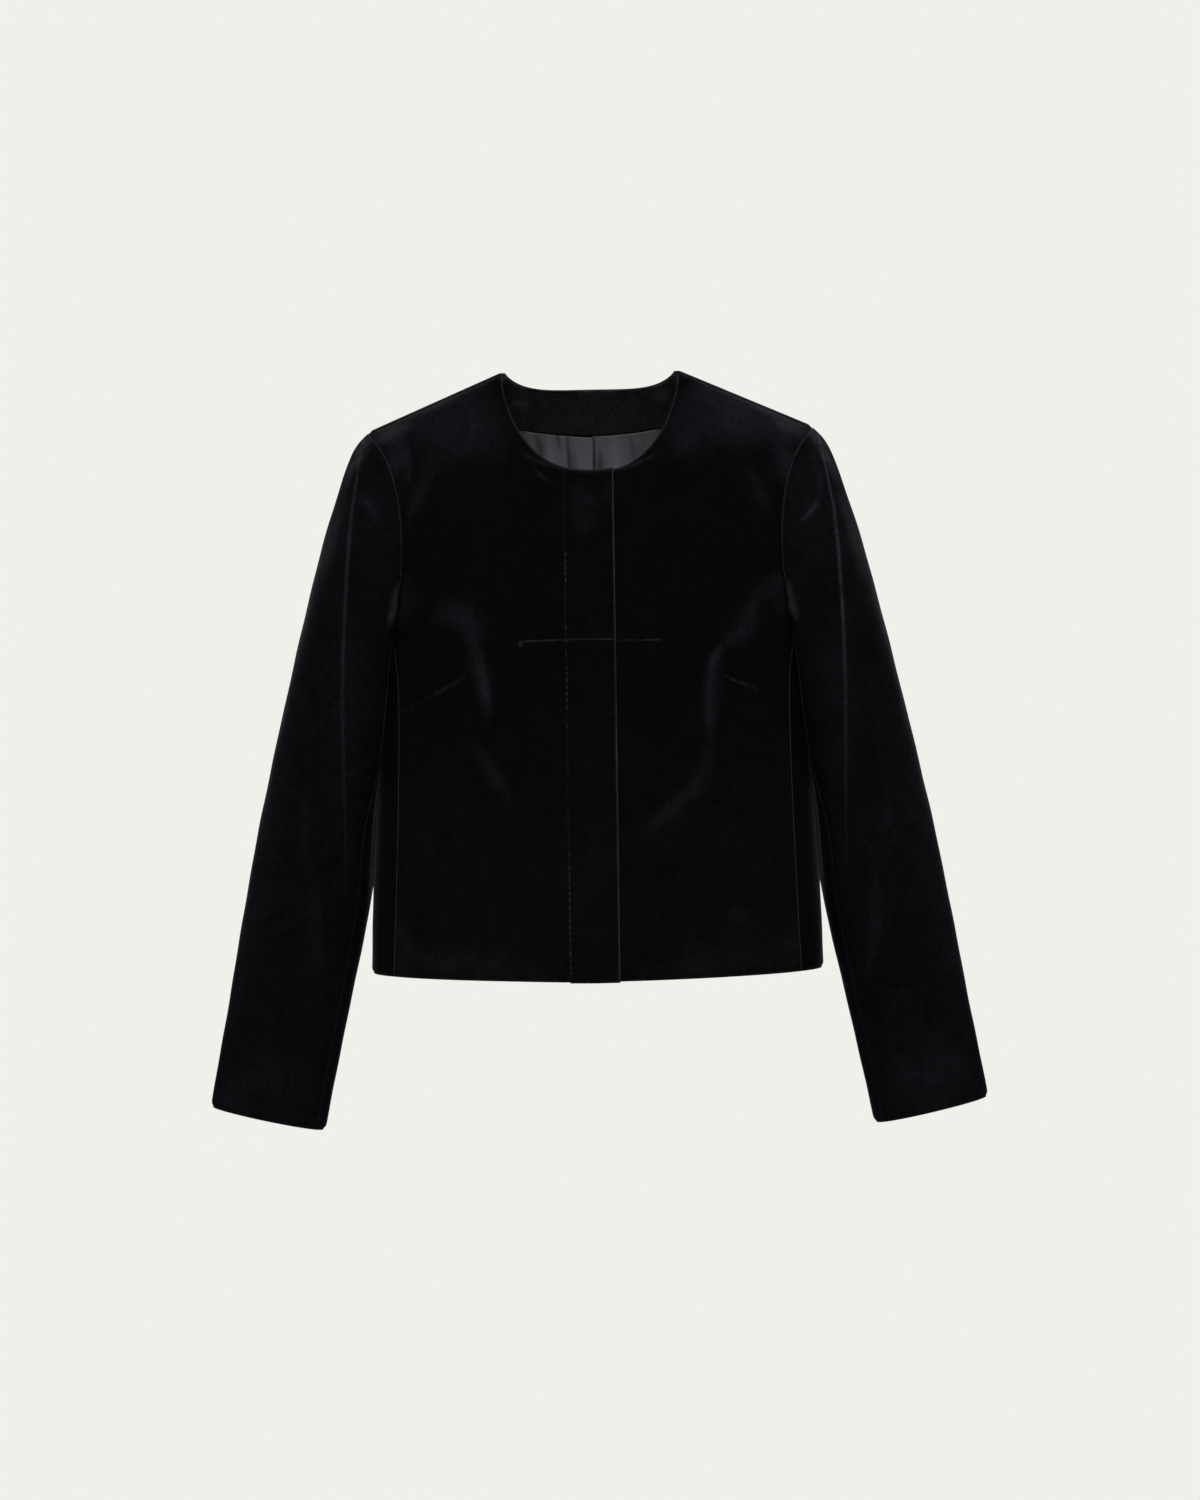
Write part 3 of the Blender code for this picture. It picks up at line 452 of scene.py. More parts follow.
# How wide the ends of a soft stroke are, how it fades towards them, and the same for a sewn line
STROKE_TIP, STROKE_FADE = 0.4, 0.7
LINE_TIP, LINE_FADE = 0.9, 0.12

# Size of the slight waves of each cloth, their height, and the strength, slant and start of each wave
FRONT_HAND, BACK_HAND, SIDE_HAND, SLEEVE_HAND = 0.085, 0.095, 0.080, 0.075
HAND_HEIGHT = 0.0005
HAND_WAVES = ((1.0, 0.83, 0.41, 0.6), (0.7, 1.31, -0.57, 2.1), (0.5, 0.37, 1.63, 4.0))
BACK_FOLD_START = 0.04
SLEEVE_FACING = 0.5
# Where cloth is sewn into the armhole: the middle that it rolls towards, and how far that reaches
ARMHOLE_MIDDLE = (0.0, 0.0, -0.125)
ARMHOLE_NEAR = 0.008
ARMHOLE_BLEND = 0.02
SEWN_GAP = 0.0001
# How far the side panels stand out under the arms
SIDE_SWELL = 0.0016
SIDE_SWELL_Z = -0.305
SIDE_SWELL_LENGTH = 0.060

# Painted light over the whole of each cloth: the same black velvet painted lighter or darker cloth by cloth,
# the facing most, to lift it out of the shade inside the neck
BACK_BASE_PAINTED_LIGHT, SIDE_BASE_PAINTED_LIGHT, SLEEVE_BASE_PAINTED_LIGHT, FACING_BASE_PAINTED_LIGHT = 0.030, 0.011, 0.042, 0.43
FRONT_BASE_PAINTED_LIGHT, FRONT_LOW_PAINTED_LIGHT, FRONT_TINTED_PAINTED_LIGHT = 0.012, 0.022, 0.10
# Where the painted light on the fronts starts to grow towards the hem, and over what height
FRONT_LOW_START, FRONT_LOW_RUN = -0.180, 0.240
# Height, change and reach of each stretch of the front edge whose painted highlight is stronger or weaker
EDGE_HIGHLIGHT_CHANGES = (
    (-0.235, -0.40, 0.050),
    (-0.313, 0.30, 0.018),
    (-0.350, -0.15, 0.020),
    (-0.430, 0.10, 0.040),
)
LINING_BASE_SHADE = 0.59
# How the facing's borders roll in, and the painted highlight along them
FACING_BORDERS = {"top": (0.0006, 0.0020, 0.10, 0.0014), "bottom": (0.0005, 0.0012, 0.06, 0.0008)}

# Velvet: its colours, its noises as scale, detail and distortion, and what they change
VELVET_DARK = (0.0012, 0.0013, 0.0011, 1)
# Colours of the painted light: a violet painted sheen where it is weak, a plainer painted highlight where it
# is strong, and how fast the tint turns from one to the other
VELVET_PAINTED_SHEEN = (0.030, 0.0265, 0.046, 1)
VELVET_PAINTED_HIGHLIGHT = (0.0302, 0.0300, 0.0352, 1)
PAINTED_HIGHLIGHT_TINT_START = 3.0
VELVET_PATCHES, VELVET_FINE, VELVET_PILE = (34.0, 4.0, 1.4), (260.0, 3.0, 0.0), (1700.0, 2.0, 0.0)
NOISE_MIDDLE = 0.5
MOTTLE, MOTTLE_OF_PAINTED_LIGHT, MOTTLE_OF_DARK = 0.8, 1.5, 0.035
PILE_BUMP, PILE_HEIGHT, PILE_FINE = 0.35, 0.0006, 0.8
VELVET_ROUGHNESS, VELVET_SMOOTHED = 0.95, 0.15
VELVET_SHEEN, VELVET_SHEEN_ROUGHNESS = 0.09, 0.22
VELVET_SHEEN_TINT = (0.80, 0.78, 0.90, 1)
# Lining satin, in the same way
LINING_DARK = (0.018, 0.018, 0.021, 1)
LINING_LIGHT = (0.146, 0.1435, 0.168, 1)
LINING_WEAVE, LINING_CLOUD = (900.0, 2.0, 0.0), (22.0, 3.0, 0.8)
LINING_WEAVE_STRETCH = (1.0, 1.0, 0.08)
LINING_WEAVE_SHADE, LINING_CLOUD_SHADE = 0.2, 0.4
LINING_BUMP, LINING_BUMP_HEIGHT = 0.12, 0.0003
LINING_ROUGHNESS, LINING_CLOUD_ROUGHNESS, LINING_GLOSS = 0.34, 0.14, 0.45
# Thread
THREAD_DARK, THREAD_LIGHT = (0.003, 0.003, 0.003, 1), (0.009, 0.009, 0.010, 1)
THREAD_TWIST, THREAD_TWIST_UNEVEN = 900.0, 0.5
THREAD_ROUGHNESS, THREAD_GLOSS = 0.55, 0.35

# Stage, light and camera
BACKDROP_COLOUR = (0.871, 0.871, 0.831, 1)
FLOOR_Z = -1.10
FLOOR_SIZE = 9.0
FLOOR_CELLS = 24
CAMERA_PLACE = (0.0045, -3.0, -0.3046)
CAMERA_ROLL = 0.0138
CAMERA_FRAME_WIDTH = 1.044
SENSOR = 36.0
# Place, size across and down, watts
SOFT_LIGHTS = (
    ((0.0, -1.6, 1.9), 2.4, 1.6, 46),
    ((-2.2, -0.5, 0.2), 0.9, 2.2, 14),
    ((2.2, -0.5, 0.2), 0.9, 2.2, 14),
    ((0.0, 2.0, 1.2), 2.4, 1.4, 20),
)
LIGHT_AIM = (0.0, 0.0, -0.25)


# Curves and soft shapes


def smooth_rows(rows, at):
    """A smooth curve through the rows of a table, read at row positions given as an array."""
    rows = np.asarray(rows, float)
    at = np.clip(np.asarray(at, float), 0, len(rows) - 1)
    low = np.minimum(at.astype(int), len(rows) - 2)
    part = (at - low)[..., None]
    before = rows[np.maximum(low - 1, 0)]
    after = rows[np.minimum(low + 2, len(rows) - 1)]
    start, end = rows[low], rows[low + 1]
    slope_start = (end - before) / 2
    slope_end = (after - start) / 2
    return (
        start * (2 * part**3 - 3 * part**2 + 1)
        + slope_start * (part**3 - 2 * part**2 + part)
        + end * (3 * part**2 - 2 * part**3)
        + slope_end * (part**3 - part**2)
    )


def even_line(dense, shares):
    """Points at the given shares of a close line's length."""
    steps = np.linalg.norm(np.diff(dense, axis=0), axis=1)
    length = np.concatenate([[0], np.cumsum(steps)])
    wanted = np.asarray(shares, float) * length[-1]
    return np.stack([np.interp(wanted, length, column) for column in dense.T], axis=-1)


def along(points, shares):
    """Points at the given shares of a smooth curve's length."""
    dense = smooth_rows(points, np.linspace(0, len(points) - 1, CURVE_FINENESS * len(points)))
    return even_line(dense, shares)


def ease(share):
    """0 to 1 with a flat start and end."""
    share = np.clip(share, 0, 1)
    return share * share * (3 - 2 * share)


def bell(distance, width):
    """1 at no distance, and softly less over a width."""
    return np.exp(-((distance / width) ** 2))


def spread(steps, crowding=EDGE_CROWDING):
    """Shares from 0 to 1 that lie closer together at both ends."""
    even = np.linspace(0, 1, steps + 1)
    return even - crowding * np.sin(2 * np.pi * even) / (2 * np.pi)


def spread_parts(*parts):
    """Shares over parts given as their end share, their steps and how they crowd at the part's ends."""
    shares, start = [np.zeros(1)], 0.0
    for end, steps, crowding in parts:
        shares.append(start + (end - start) * spread(steps, crowding)[1:])
        start = end
    return np.concatenate(shares)


def stroke(x, z, path, plus, minus, tip=STROKE_TIP, fading=STROKE_FADE):
    """A soft band along a path: 1 on it, less with the distance to each side and towards its ends."""
    line = along(np.array(path, float) * MILLIMETRE, np.linspace(0, 1, STROKE_PARTS + 1))
    best = np.full(np.shape(x), np.inf)
    side = np.zeros(np.shape(x))
    share = np.zeros(np.shape(x))
    for index, (start, end) in enumerate(zip(line[:-1], line[1:])):
        way = end - start
        off_x, off_z = x - start[0], z - start[1]
        part = np.clip((off_x * way[0] + off_z * way[1]) / (way @ way), 0, 1)
        gap = np.hypot(off_x - part * way[0], off_z - part * way[1])
        nearer = gap < best
        best = np.where(nearer, gap, best)
        side = np.where(nearer, way[0] * off_z - way[1] * off_x, side)
        share = np.where(nearer, (index + part) / STROKE_PARTS, share)
    swell = np.sin(np.pi * share)
    reach = np.where(side > 0, plus, minus) * MILLIMETRE * (tip + (1 - tip) * swell)
    return swell**fading * bell(best, reach)


def stroke_sum(x, z, table):
    """Strength of the soft strokes of a table, such as painted light or the heights of folds."""
    return sum(strength * stroke(x, z, path, plus, minus) for path, strength, plus, minus in table)


def folds(x, z, table):
    """Heights of the soft folds of a table."""
    return MILLIMETRE * stroke_sum(x, z, table)


def creased(x, z, table):
    """Strength of the sewn lines of a table, such as the depths of darts or the painted highlights beside
    them.
    """
    return sum(
        strength * stroke(x, z, path, width, width, LINE_TIP, LINE_FADE) for path, strength, width in table
    )


def darts(x, z, table):
    """Depths of the sewn darts of a table."""
    return MILLIMETRE * creased(x, z, table)


def hand(first, second, size):
    """The slight unevenness of sewn cloth: a few crossing waves of about one size."""
    turn = 2 * np.pi / size
    waves = sum(
        strength * np.sin(turn * (across * first + down * second) + start)
        for strength, across, down, start in HAND_WAVES
    )
    return HAND_HEIGHT * waves / sum(strength for strength, *_ in HAND_WAVES)


# The form of the body: x runs across, and way is the distance down from the shoulder ridge,
# negative in front


def ridge_z(x):
    reach = np.abs(x)
    outside = NECK_POINT_Z - SHOULDER_SLOPE * (reach - NECK_HALF_WIDTH)
    inside = NECK_POINT_Z + SHOULDER_SLOPE * (NECK_HALF_WIDTH**2 - reach**2) / (2 * NECK_HALF_WIDTH)
    return np.where(reach > NECK_HALF_WIDTH, outside, inside)


def way_of(drop):
    """The way down the cloth for a height below the ridge: round the ridge first, then straight down."""
    return np.sign(drop) * np.sqrt(drop**2 + 2 * RIDGE_RADIUS * np.abs(drop))


def drop_of(way):
    return np.sign(way) * (np.sqrt(way**2 + RIDGE_RADIUS**2) - RIDGE_RADIUS)


def body_section(z):
    """Half width, front depth and back depth at a height."""
    table = np.array(BODY_SECTIONS)
    row = np.interp(-np.asarray(z, float), -table[:, 0], np.arange(len(table)))
    section = smooth_rows(table, row)
    return section[..., 1], section[..., 2], section[..., 3]


def fullness(x, z):
    """How far the darts bring the front forward."""
    across = sum(bell(x - side * FULLNESS_X, FULLNESS_WIDTH) for side in (-1, 1))
    return FULLNESS_RISE * across * bell(z - FULLNESS_Z, FULLNESS_LENGTH)


def hung(x, y, z):
    """Points of the body, with the hem a little higher at the sides than at the middle."""
    low = ease((HEM_RISE_TOP_Z - z) / (HEM_RISE_TOP_Z - HEM_Z))
    z = z + HEM_RISE * (np.abs(x) / HEM_RISE_X) ** HEM_RISE_CURVE * low
    return np.stack(np.broadcast_arrays(x, y, z), axis=-1)


def body_point(x, way):
    """A point of the body's outer face."""
    drop = drop_of(way)
    z = ridge_z(x) - np.abs(drop)
    half, front, back = body_section(z)
    depth = np.where(drop < 0, front, back)
    reach = np.where(drop < 0, FRONT_SHOULDER_FALL, BACK_SHOULDER_FALL)
    share = np.clip(np.abs(drop) / reach, 0, 1)
    fall = np.sqrt(1 - (1 - share) ** 2)
    across = np.sqrt(np.maximum(1 - (np.abs(x) / half) ** BODY_SQUARENESS, LEAST_DEPTH_SHARE))
    y = np.sign(drop) * depth * across * fall
    y = np.where(drop < 0, y - fullness(x, z) * share, y)
    return hung(x, y, z)


def side_point(angle, z, side):
    """A point of the outer face round the side: angle 0 is the side line, negative is to the front."""
    half, front, back = body_section(z)
    x = side * half * np.cos(angle) ** (2 / BODY_SQUARENESS)
    y = np.where(angle < 0, front, back) * np.sin(angle)
    return hung(x, y, z)


# Edges of the panels as x and way, and the panels between them


def front_neck_z(x):
    share = np.clip(np.abs(x) / NECK_HALF_WIDTH, 0, 1)
    return NECK_POINT_Z - FRONT_NECK_DROP * (1 - share**FRONT_NECK_ROUNDNESS) ** FRONT_NECK_FLATNESS


def back_neck_z(x):
    share = np.clip(np.abs(x) / NECK_HALF_WIDTH, 0, 1)
    return NECK_POINT_Z - BACK_NECK_DROP * (1 - share**BACK_NECK_ROUNDNESS)


def on_panel(x, z, facing):
    """Points given as x and height, as x and way on the front (-1) or the back (1)."""
    return np.stack([x, way_of(facing * (ridge_z(x) - z))], axis=-1)


def neck_edge(from_x, facing, share):
    """The neck edge from near the middle to the seam at the neck point."""
    turn = np.linspace(0, 1, CURVE_FINENESS * CURVE_FINENESS)
    x = from_x + (NECK_HALF_WIDTH - from_x) * np.sin(turn * np.pi / 2)
    z = front_neck_z(x) if facing < 0 else back_neck_z(x)
    drop = facing * (ridge_z(x) - z) - SEAM_FORWARD * (x / NECK_HALF_WIDTH) ** NECK_POINT_TURN
    return even_line(np.stack([x, way_of(drop)], axis=-1), share)


def armhole_edge(facing, share):
    """An armhole from the shoulder tip down to where the side panel starts."""
    edge = along(FRONT_ARMHOLE if facing < 0 else BACK_ARMHOLE, share)
    drop = facing * (ridge_z(edge[..., 0]) - edge[..., 1])
    tip_drop = facing * (ridge_z(SHOULDER_TIP_X) - FRONT_ARMHOLE[0][1])
    drop = drop - (tip_drop + SEAM_FORWARD) * (1 - np.clip(share / ARMHOLE_FIRST_STEP, 0, 1))
    return np.stack([edge[..., 0], way_of(drop)], axis=-1)


def outer_edge(facing, share):
    """The shoulder seam, the armhole and the seam below it, from the neck point to the hem."""
    reach = np.clip(share / SHOULDER_PART, 0, 1)
    x = NECK_HALF_WIDTH + (SHOULDER_TIP_X - NECK_HALF_WIDTH) * reach
    shoulder = np.stack([x, np.full(np.shape(x), way_of(-SEAM_FORWARD))], axis=-1)
    armhole = armhole_edge(facing, np.clip((share - SHOULDER_PART) / (ARMHOLE_PART - SHOULDER_PART), 0, 1))
    below = np.clip((share - ARMHOLE_PART) / (1 - ARMHOLE_PART), 0, 1)
    seam = along(FRONT_SEAM if facing < 0 else BACK_SEAM, below)
    lower = on_panel(seam[..., 0], seam[..., 1], facing)
    upper = np.where((share < SHOULDER_PART)[..., None], shoulder, armhole)
    return np.where((share < ARMHOLE_PART)[..., None], upper, lower)


def hem_edge(from_x, to_x, facing, share):
    x = from_x + (to_x - from_x) * share
    return on_panel(x, np.full(np.shape(x), HEM_Z), facing)


def middle_z(top_z, bottom_z, share):
    """Heights down the middle that go in step with the outer edge."""
    return top_z + (bottom_z - top_z) * np.interp(share, (0, SHOULDER_PART, ARMHOLE_PART, 1), MIDDLE_SHARES)


def upright_edge(x, top_z, facing, share):
    z = middle_z(top_z, HEM_Z, share)
    return on_panel(np.full(np.shape(z), x), z, facing)


def between(across, down, top, bottom, left, right):
    """The panel between four edges, each a function of its share."""
    corner = np.array([0.0, 1.0])
    top_left, top_right = top(corner)
    bottom_left, bottom_right = bottom(corner)
    u, v = across[..., None], down[..., None]
    upper = (1 - u) * top_left + u * top_right
    lower = (1 - u) * bottom_left + u * bottom_right
    corners = (1 - v) * upper + v * lower
    upright = (1 - v) * top(across) + v * bottom(across)
    level = (1 - u) * left(down) + u * right(down)
    return upright + level - corners


def front_place(across, down, edge_x):
    """x and way on a front of the +X side that starts at an x near the middle."""
    return between(
        across,
        down,
        lambda share: neck_edge(edge_x, -1, share),
        lambda share: hem_edge(edge_x, FRONT_SEAM[-1][0], -1, share),
        lambda share: upright_edge(edge_x, front_neck_z(edge_x), -1, share),
        lambda share: outer_edge(-1, share),
    )


def back_place(across, down):
    """x and way on the +X half of the back."""
    return between(
        across,
        down,
        lambda share: neck_edge(0.0, 1, share),
        lambda share: hem_edge(0.0, BACK_SEAM[-1][0], 1, share),
        lambda share: upright_edge(0.0, back_neck_z(0.0), 1, share),
        lambda share: outer_edge(1, share),
    )


# Making cloth


def deselect():
    bpy.ops.object.select_all(action="DESELECT")


def unit(vectors):
    return vectors / np.maximum(np.linalg.norm(vectors, axis=-1, keepdims=True), LEAST_LENGTH)


def sheet_normals(points, inside):
    """Normals of a grid of points that look away from what is inside."""
    found = unit(np.cross(np.gradient(points, axis=0), np.gradient(points, axis=1)))
    return found * np.sign(np.sum(found * (points - inside)))


def lengths(points):
    """Distances of each point from the left, right, top and bottom border, along the cloth."""
    across = np.linalg.norm(np.diff(points, axis=1), axis=-1)
    down = np.linalg.norm(np.diff(points, axis=0), axis=-1)
    left = np.concatenate([np.zeros((len(points), 1)), np.cumsum(across, axis=1)], axis=1)
    top = np.concatenate([np.zeros((1, points.shape[1])), np.cumsum(down, axis=0)], axis=0)
    return {"left": left, "right": left[:, -1:] - left, "top": top, "bottom": top[-1:] - top}


def body_normals(x, way):
    """Outward normals of the body."""
    across = body_point(x + NORMAL_STEP, way) - body_point(x - NORMAL_STEP, way)
    onward = body_point(x, way + NORMAL_STEP) - body_point(x, way - NORMAL_STEP)
    return unit(np.cross(across, onward))


def line_length(points):
    return float(np.linalg.norm(np.diff(points, axis=0), axis=-1).sum())


def body_cut(x, way):
    """Width and length of a body panel's cut: its longest level line and its longest line straight down."""
    z = body_point(x, way)[..., 2]
    facing = np.sign(np.median(way))
    across, down = [], []
    for level in np.linspace(z.min(), z.max(), CUT_LINES):
        there = x[np.abs(z - level) < CUT_LINE_REACH]
        line = np.linspace(there.min(), there.max(), CUT_LINES)
        drop = np.maximum(ridge_z(line) - level, 0)
        across.append(line_length(body_point(line, way_of(facing * drop))))
    for column in np.linspace(x.min(), x.max(), CUT_LINES):
        there = way[np.abs(x - column) < CUT_LINE_REACH]
        line = np.linspace(there.min(), there.max(), CUT_LINES)
        down.append(line_length(body_point(np.full(CUT_LINES, column), line)))
    return max(across), max(down)


def grid_cut(points, first_row=0):
    """Width and length of a cut whose rows run across it from a given row on: its longest row and column."""
    distance = lengths(points)
    return float(distance["left"][first_row:, -1].max()), float(distance["top"][-1].max())


def calm(points, borders):
    """0 at the named borders and 1 a little way in, so that neighbours meet at their seams."""
    distance = lengths(points)
    return np.prod([ease(distance[name] / SEAM_CALM) for name in borders], axis=0)


def rolled(points, borders):
    """How far the borders roll in, and the painted highlight along them."""
    distance = lengths(points)
    depth, painted_highlight = np.zeros(points.shape[:2]), np.zeros(points.shape[:2])
    for name, (deep, width, light, light_width) in borders.items():
        depth = np.maximum(depth, deep * bell(distance[name], width))
        painted_highlight = np.maximum(painted_highlight, light * bell(distance[name], light_width))
    return depth, painted_highlight


def cloth(node, points, inside, thickness, finish, nap, cut, plain=0.0):
    """The sheet of cloth for a node, through a grid of points, with its wrong side on the inside."""
    name = f"{node}_cloth"
    rows, columns = points.shape[:2]
    deselect()
    bpy.ops.mesh.primitive_grid_add(x_subdivisions=columns - 1, y_subdivisions=rows - 1, size=1)
    obj = bpy.context.object
    obj.name = name
    mesh = obj.data
    mesh.name = name
    mesh.vertices.foreach_set("co", points.astype(np.float32).ravel())
    distance = lengths(points)
    flat = np.stack([distance["left"], distance["top"]], axis=-1).reshape(-1, 2)
    corners = np.empty(len(mesh.loops), np.int32)
    mesh.loops.foreach_get("vertex_index", corners)
    mesh.uv_layers[0].data.foreach_set("uv", flat[corners].astype(np.float32).ravel())
    for title, values in (("nap", nap), ("plain", plain)):
        pile = mesh.attributes.new(title, "FLOAT", "POINT")
        pile.data.foreach_set("value", np.broadcast_to(values, (rows, columns)).astype(np.float32).ravel())
    natural = np.cross(np.gradient(points, axis=1), np.gradient(points, axis=0))
    if np.sum(natural * sheet_normals(points, inside)) < 0:
        mesh.flip_normals()
    mesh.update()
    wall = obj.modifiers.new("wall", "SOLIDIFY")
    wall.thickness = thickness
    wall.offset = -1
    bpy.ops.object.modifier_apply(modifier=wall.name)
    bpy.ops.object.shade_smooth()
    mesh.materials.append(finish)
    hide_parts(node)
    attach(obj, "root")
    cells = np.cross(points[1:, 1:] - points[:-1, :-1], points[1:, :-1] - points[:-1, 1:])
    return obj


def finished(points, out, borders, relief, armhole=None):
    """The points of a sheet moved out by its relief and in at its borders, and the painted highlight along
    its borders.

    Near the armhole, where a weight says so, borders roll straight towards the middle of the armhole.
    """
    depth, painted_highlight = rolled(points, borders)
    if armhole is None:
        away = out
    else:
        radial = unit((points - ARMHOLE_MIDDLE) * (0, 1, 1))
        away = unit(out * (1 - armhole)[..., None] + radial * armhole[..., None])
    return points + out * relief[..., None] - away * depth[..., None], painted_highlight


def near_armhole(points, border, down):
    """1 at the part of a panel's outer border that is sewn into the armhole."""
    near = bell(lengths(points)[border], ARMHOLE_NEAR)
    starts = ease((down - SHOULDER_PART + ARMHOLE_BLEND) / ARMHOLE_BLEND)
    ends = 1 - ease((down - ARMHOLE_PART) / ARMHOLE_BLEND)
    return near * starts * ends


def body_axis(points):
    """The points of the body's upright middle line at the heights of points."""
    return points * (0, 0, 1)


# Panels of the body


def panel_rows():
    """Shares down a panel, closest together at its borders and round the darts."""
    return spread_parts(
        (SHOULDER_PART, SHOULDER_STEPS, EDGE_CROWDING),
        (DART_PART_START, CHEST_STEPS, EDGE_CROWDING),
        (DART_PART_END, DART_STEPS, 0.0),
        (ARMHOLE_PART, ARMPIT_STEPS, 0.0),
        (1.0, SIDE_STEPS, EDGE_CROWDING),
    )


def front_soft(x, z):
    """The soft folds and slight waves of the fronts."""
    return folds(x, z, FRONT_FOLDS) + hand(x, z, FRONT_HAND)


def front_pile(x, z):
    """Painted light on the fronts, painted a little lighter towards the hem, and how plain its tint is."""
    low = ease((FRONT_LOW_START - z) / FRONT_LOW_RUN)
    strokes = stroke_sum(x, z, FRONT_PAINTED_LIGHT)
    nap = FRONT_BASE_PAINTED_LIGHT + FRONT_LOW_PAINTED_LIGHT * low + strokes + creased(x, z, DART_HIGHLIGHTS)
    return nap, low * (1 - np.clip(strokes / FRONT_TINTED_PAINTED_LIGHT, 0, 1))


def front(word, side, edge_x, lift, finish):
    """One front with its darts, soft folds and rolled edges."""
    flip = (side, 1, 1)
    across, down = np.meshgrid(spread(NECK_STEPS), panel_rows())
    panel_x, way = np.moveaxis(front_place(across, down, edge_x * side), -1, 0)
    points = body_point(panel_x, way) * flip
    out = body_normals(panel_x, way) * flip
    x, z = points[..., 0], points[..., 2]
    rise = lift * (1 - ease(np.abs(x - edge_x) / LAP_LIFT_RUN))
    relief = rise + front_soft(x, z) * calm(points, ("right",)) - darts(x, z, FRONT_DARTS + MIDDLE_DARTS)
    borders = {"top": NECK_EDGE, "bottom": TURNED, "right": SEAM, "left": STITCHED if side < 0 else HIDDEN}
    points, painted_highlight = finished(points, out, borders, relief, near_armhole(points, "right", down))
    # Painted light, and the painted highlights along the borders, go into the colour
    nap, plain = front_pile(x, z)
    cut = body_cut(panel_x, way)
    return cloth(f"front_{word}", points, body_axis(points), VELVET_CLOTH, finish, nap + painted_highlight, cut, plain)


def edge_highlight_change(z):
    """How the painted highlight of the front edge comes and goes."""
    return 1 + sum(change * bell(z - height, reach) for height, change, reach in EDGE_HIGHLIGHT_CHANGES)


def placket(finish):
    """The fly band, a folded strip with a free front edge."""
    across, down = np.meshgrid(spread(PLACKET_STEPS), panel_rows())
    x = PLACKET_STITCH_X + (PLACKET_EDGE_X - PLACKET_STITCH_X) * across
    place = on_panel(x, middle_z(front_neck_z(x), HEM_Z - PLACKET_HEM_DROP, down), -1)
    points, out = body_point(x, place[..., 1]), body_normals(x, place[..., 1])
    z = points[..., 2]
    relief = LAP_LIFT + front_soft(x, z) - darts(x, z, MIDDLE_DARTS)
    borders = {"top": NECK_EDGE, "bottom": TURNED, "right": FREE_EDGE, "left": STITCHED}
    points, painted_highlight = finished(points, out, borders, relief)
    nap, plain = front_pile(x, z)
    # The free edge's painted highlight grows stronger and weaker along it
    nap = nap + painted_highlight * edge_highlight_change(z)
    return cloth("placket", points, body_axis(points), PLACKET_CLOTH, finish, nap, grid_cut(points), plain)


def back(finish):
    """The back, with a few long soft folds."""
    half = spread(2 * BACK_NECK_STEPS)[BACK_NECK_STEPS:] * 2 - 1
    across, down = np.meshgrid(np.concatenate([-half[:0:-1], half]), panel_rows())
    half_x, way = np.moveaxis(back_place(np.abs(across), down), -1, 0)
    x = np.sign(across) * half_x
    points = body_point(x, way)
    z = points[..., 2]
    soft = folds(x, z, BACK_FOLDS) + hand(x, z, BACK_HAND)
    relief = soft * ease(points[..., 1] / BACK_FOLD_START) * calm(points, ("left", "right"))
    borders = {"top": TURNED, "bottom": TURNED, "right": SEAM, "left": SEAM}
    sewn = near_armhole(points, "right", down) + near_armhole(points, "left", down)
    points, painted_highlight = finished(points, body_normals(x, way), borders, relief, sewn)
    # Painted light on the back, with the painted highlights along its borders
    nap = BACK_BASE_PAINTED_LIGHT + painted_highlight + stroke_sum(x, z, BACK_PAINTED_LIGHT)
    return cloth("back", points, body_axis(points), VELVET_CLOTH, finish, nap, body_cut(x, way))


def seam_angle(x, z):
    """The angle from the side line at which a seam lies on the body."""
    half = body_section(z)[0]
    return np.arccos(np.clip(x / half, 0, 1) ** (BODY_SQUARENESS / 2))


def side_panel_place(across, down):
    """Angle and height on the side panel: across runs from front to back seam, down to the hem."""
    before = along(FRONT_SEAM, down)
    behind = along(BACK_SEAM, down)
    front_angle = -seam_angle(before[..., 0], before[..., 1])
    back_angle = seam_angle(behind[..., 0], behind[..., 1])
    angle = front_angle + (back_angle - front_angle) * across
    dip = UNDERARM_DIP * np.sin(np.pi * across) ** UNDERARM_ROUNDNESS * (1 - down) ** 2
    z = before[..., 1] + (behind[..., 1] - before[..., 1]) * across - dip
    return angle, z


def side_panel(word, side, finish):
    """The panel under the arm."""
    across, down = np.meshgrid(spread(SIDE_PANEL_STEPS), spread(SIDE_STEPS))
    angle, z = side_panel_place(across, down)
    points = side_point(angle, z, side)
    swell = SIDE_SWELL * bell(z - SIDE_SWELL_Z, SIDE_SWELL_LENGTH) * np.sin(np.pi * across)
    relief = swell + hand(points[..., 1], z, SIDE_HAND) * calm(points, ("left", "right", "top"))
    borders = {"top": SEAM, "bottom": TURNED, "right": SEAM, "left": SEAM}
    inside = body_axis(points)
    sewn = bell(lengths(points)["top"], ARMHOLE_NEAR)
    points, painted_highlight = finished(points, sheet_normals(points, inside), borders, relief, sewn)
    cut = grid_cut(points, int(SIDE_CUT_START * SIDE_STEPS))
    # The side panel's painted light and the painted highlights along its borders
    return cloth(f"side_{word}", points, inside, VELVET_CLOTH, finish, SIDE_BASE_PAINTED_LIGHT + painted_highlight, cut)


# Sleeves


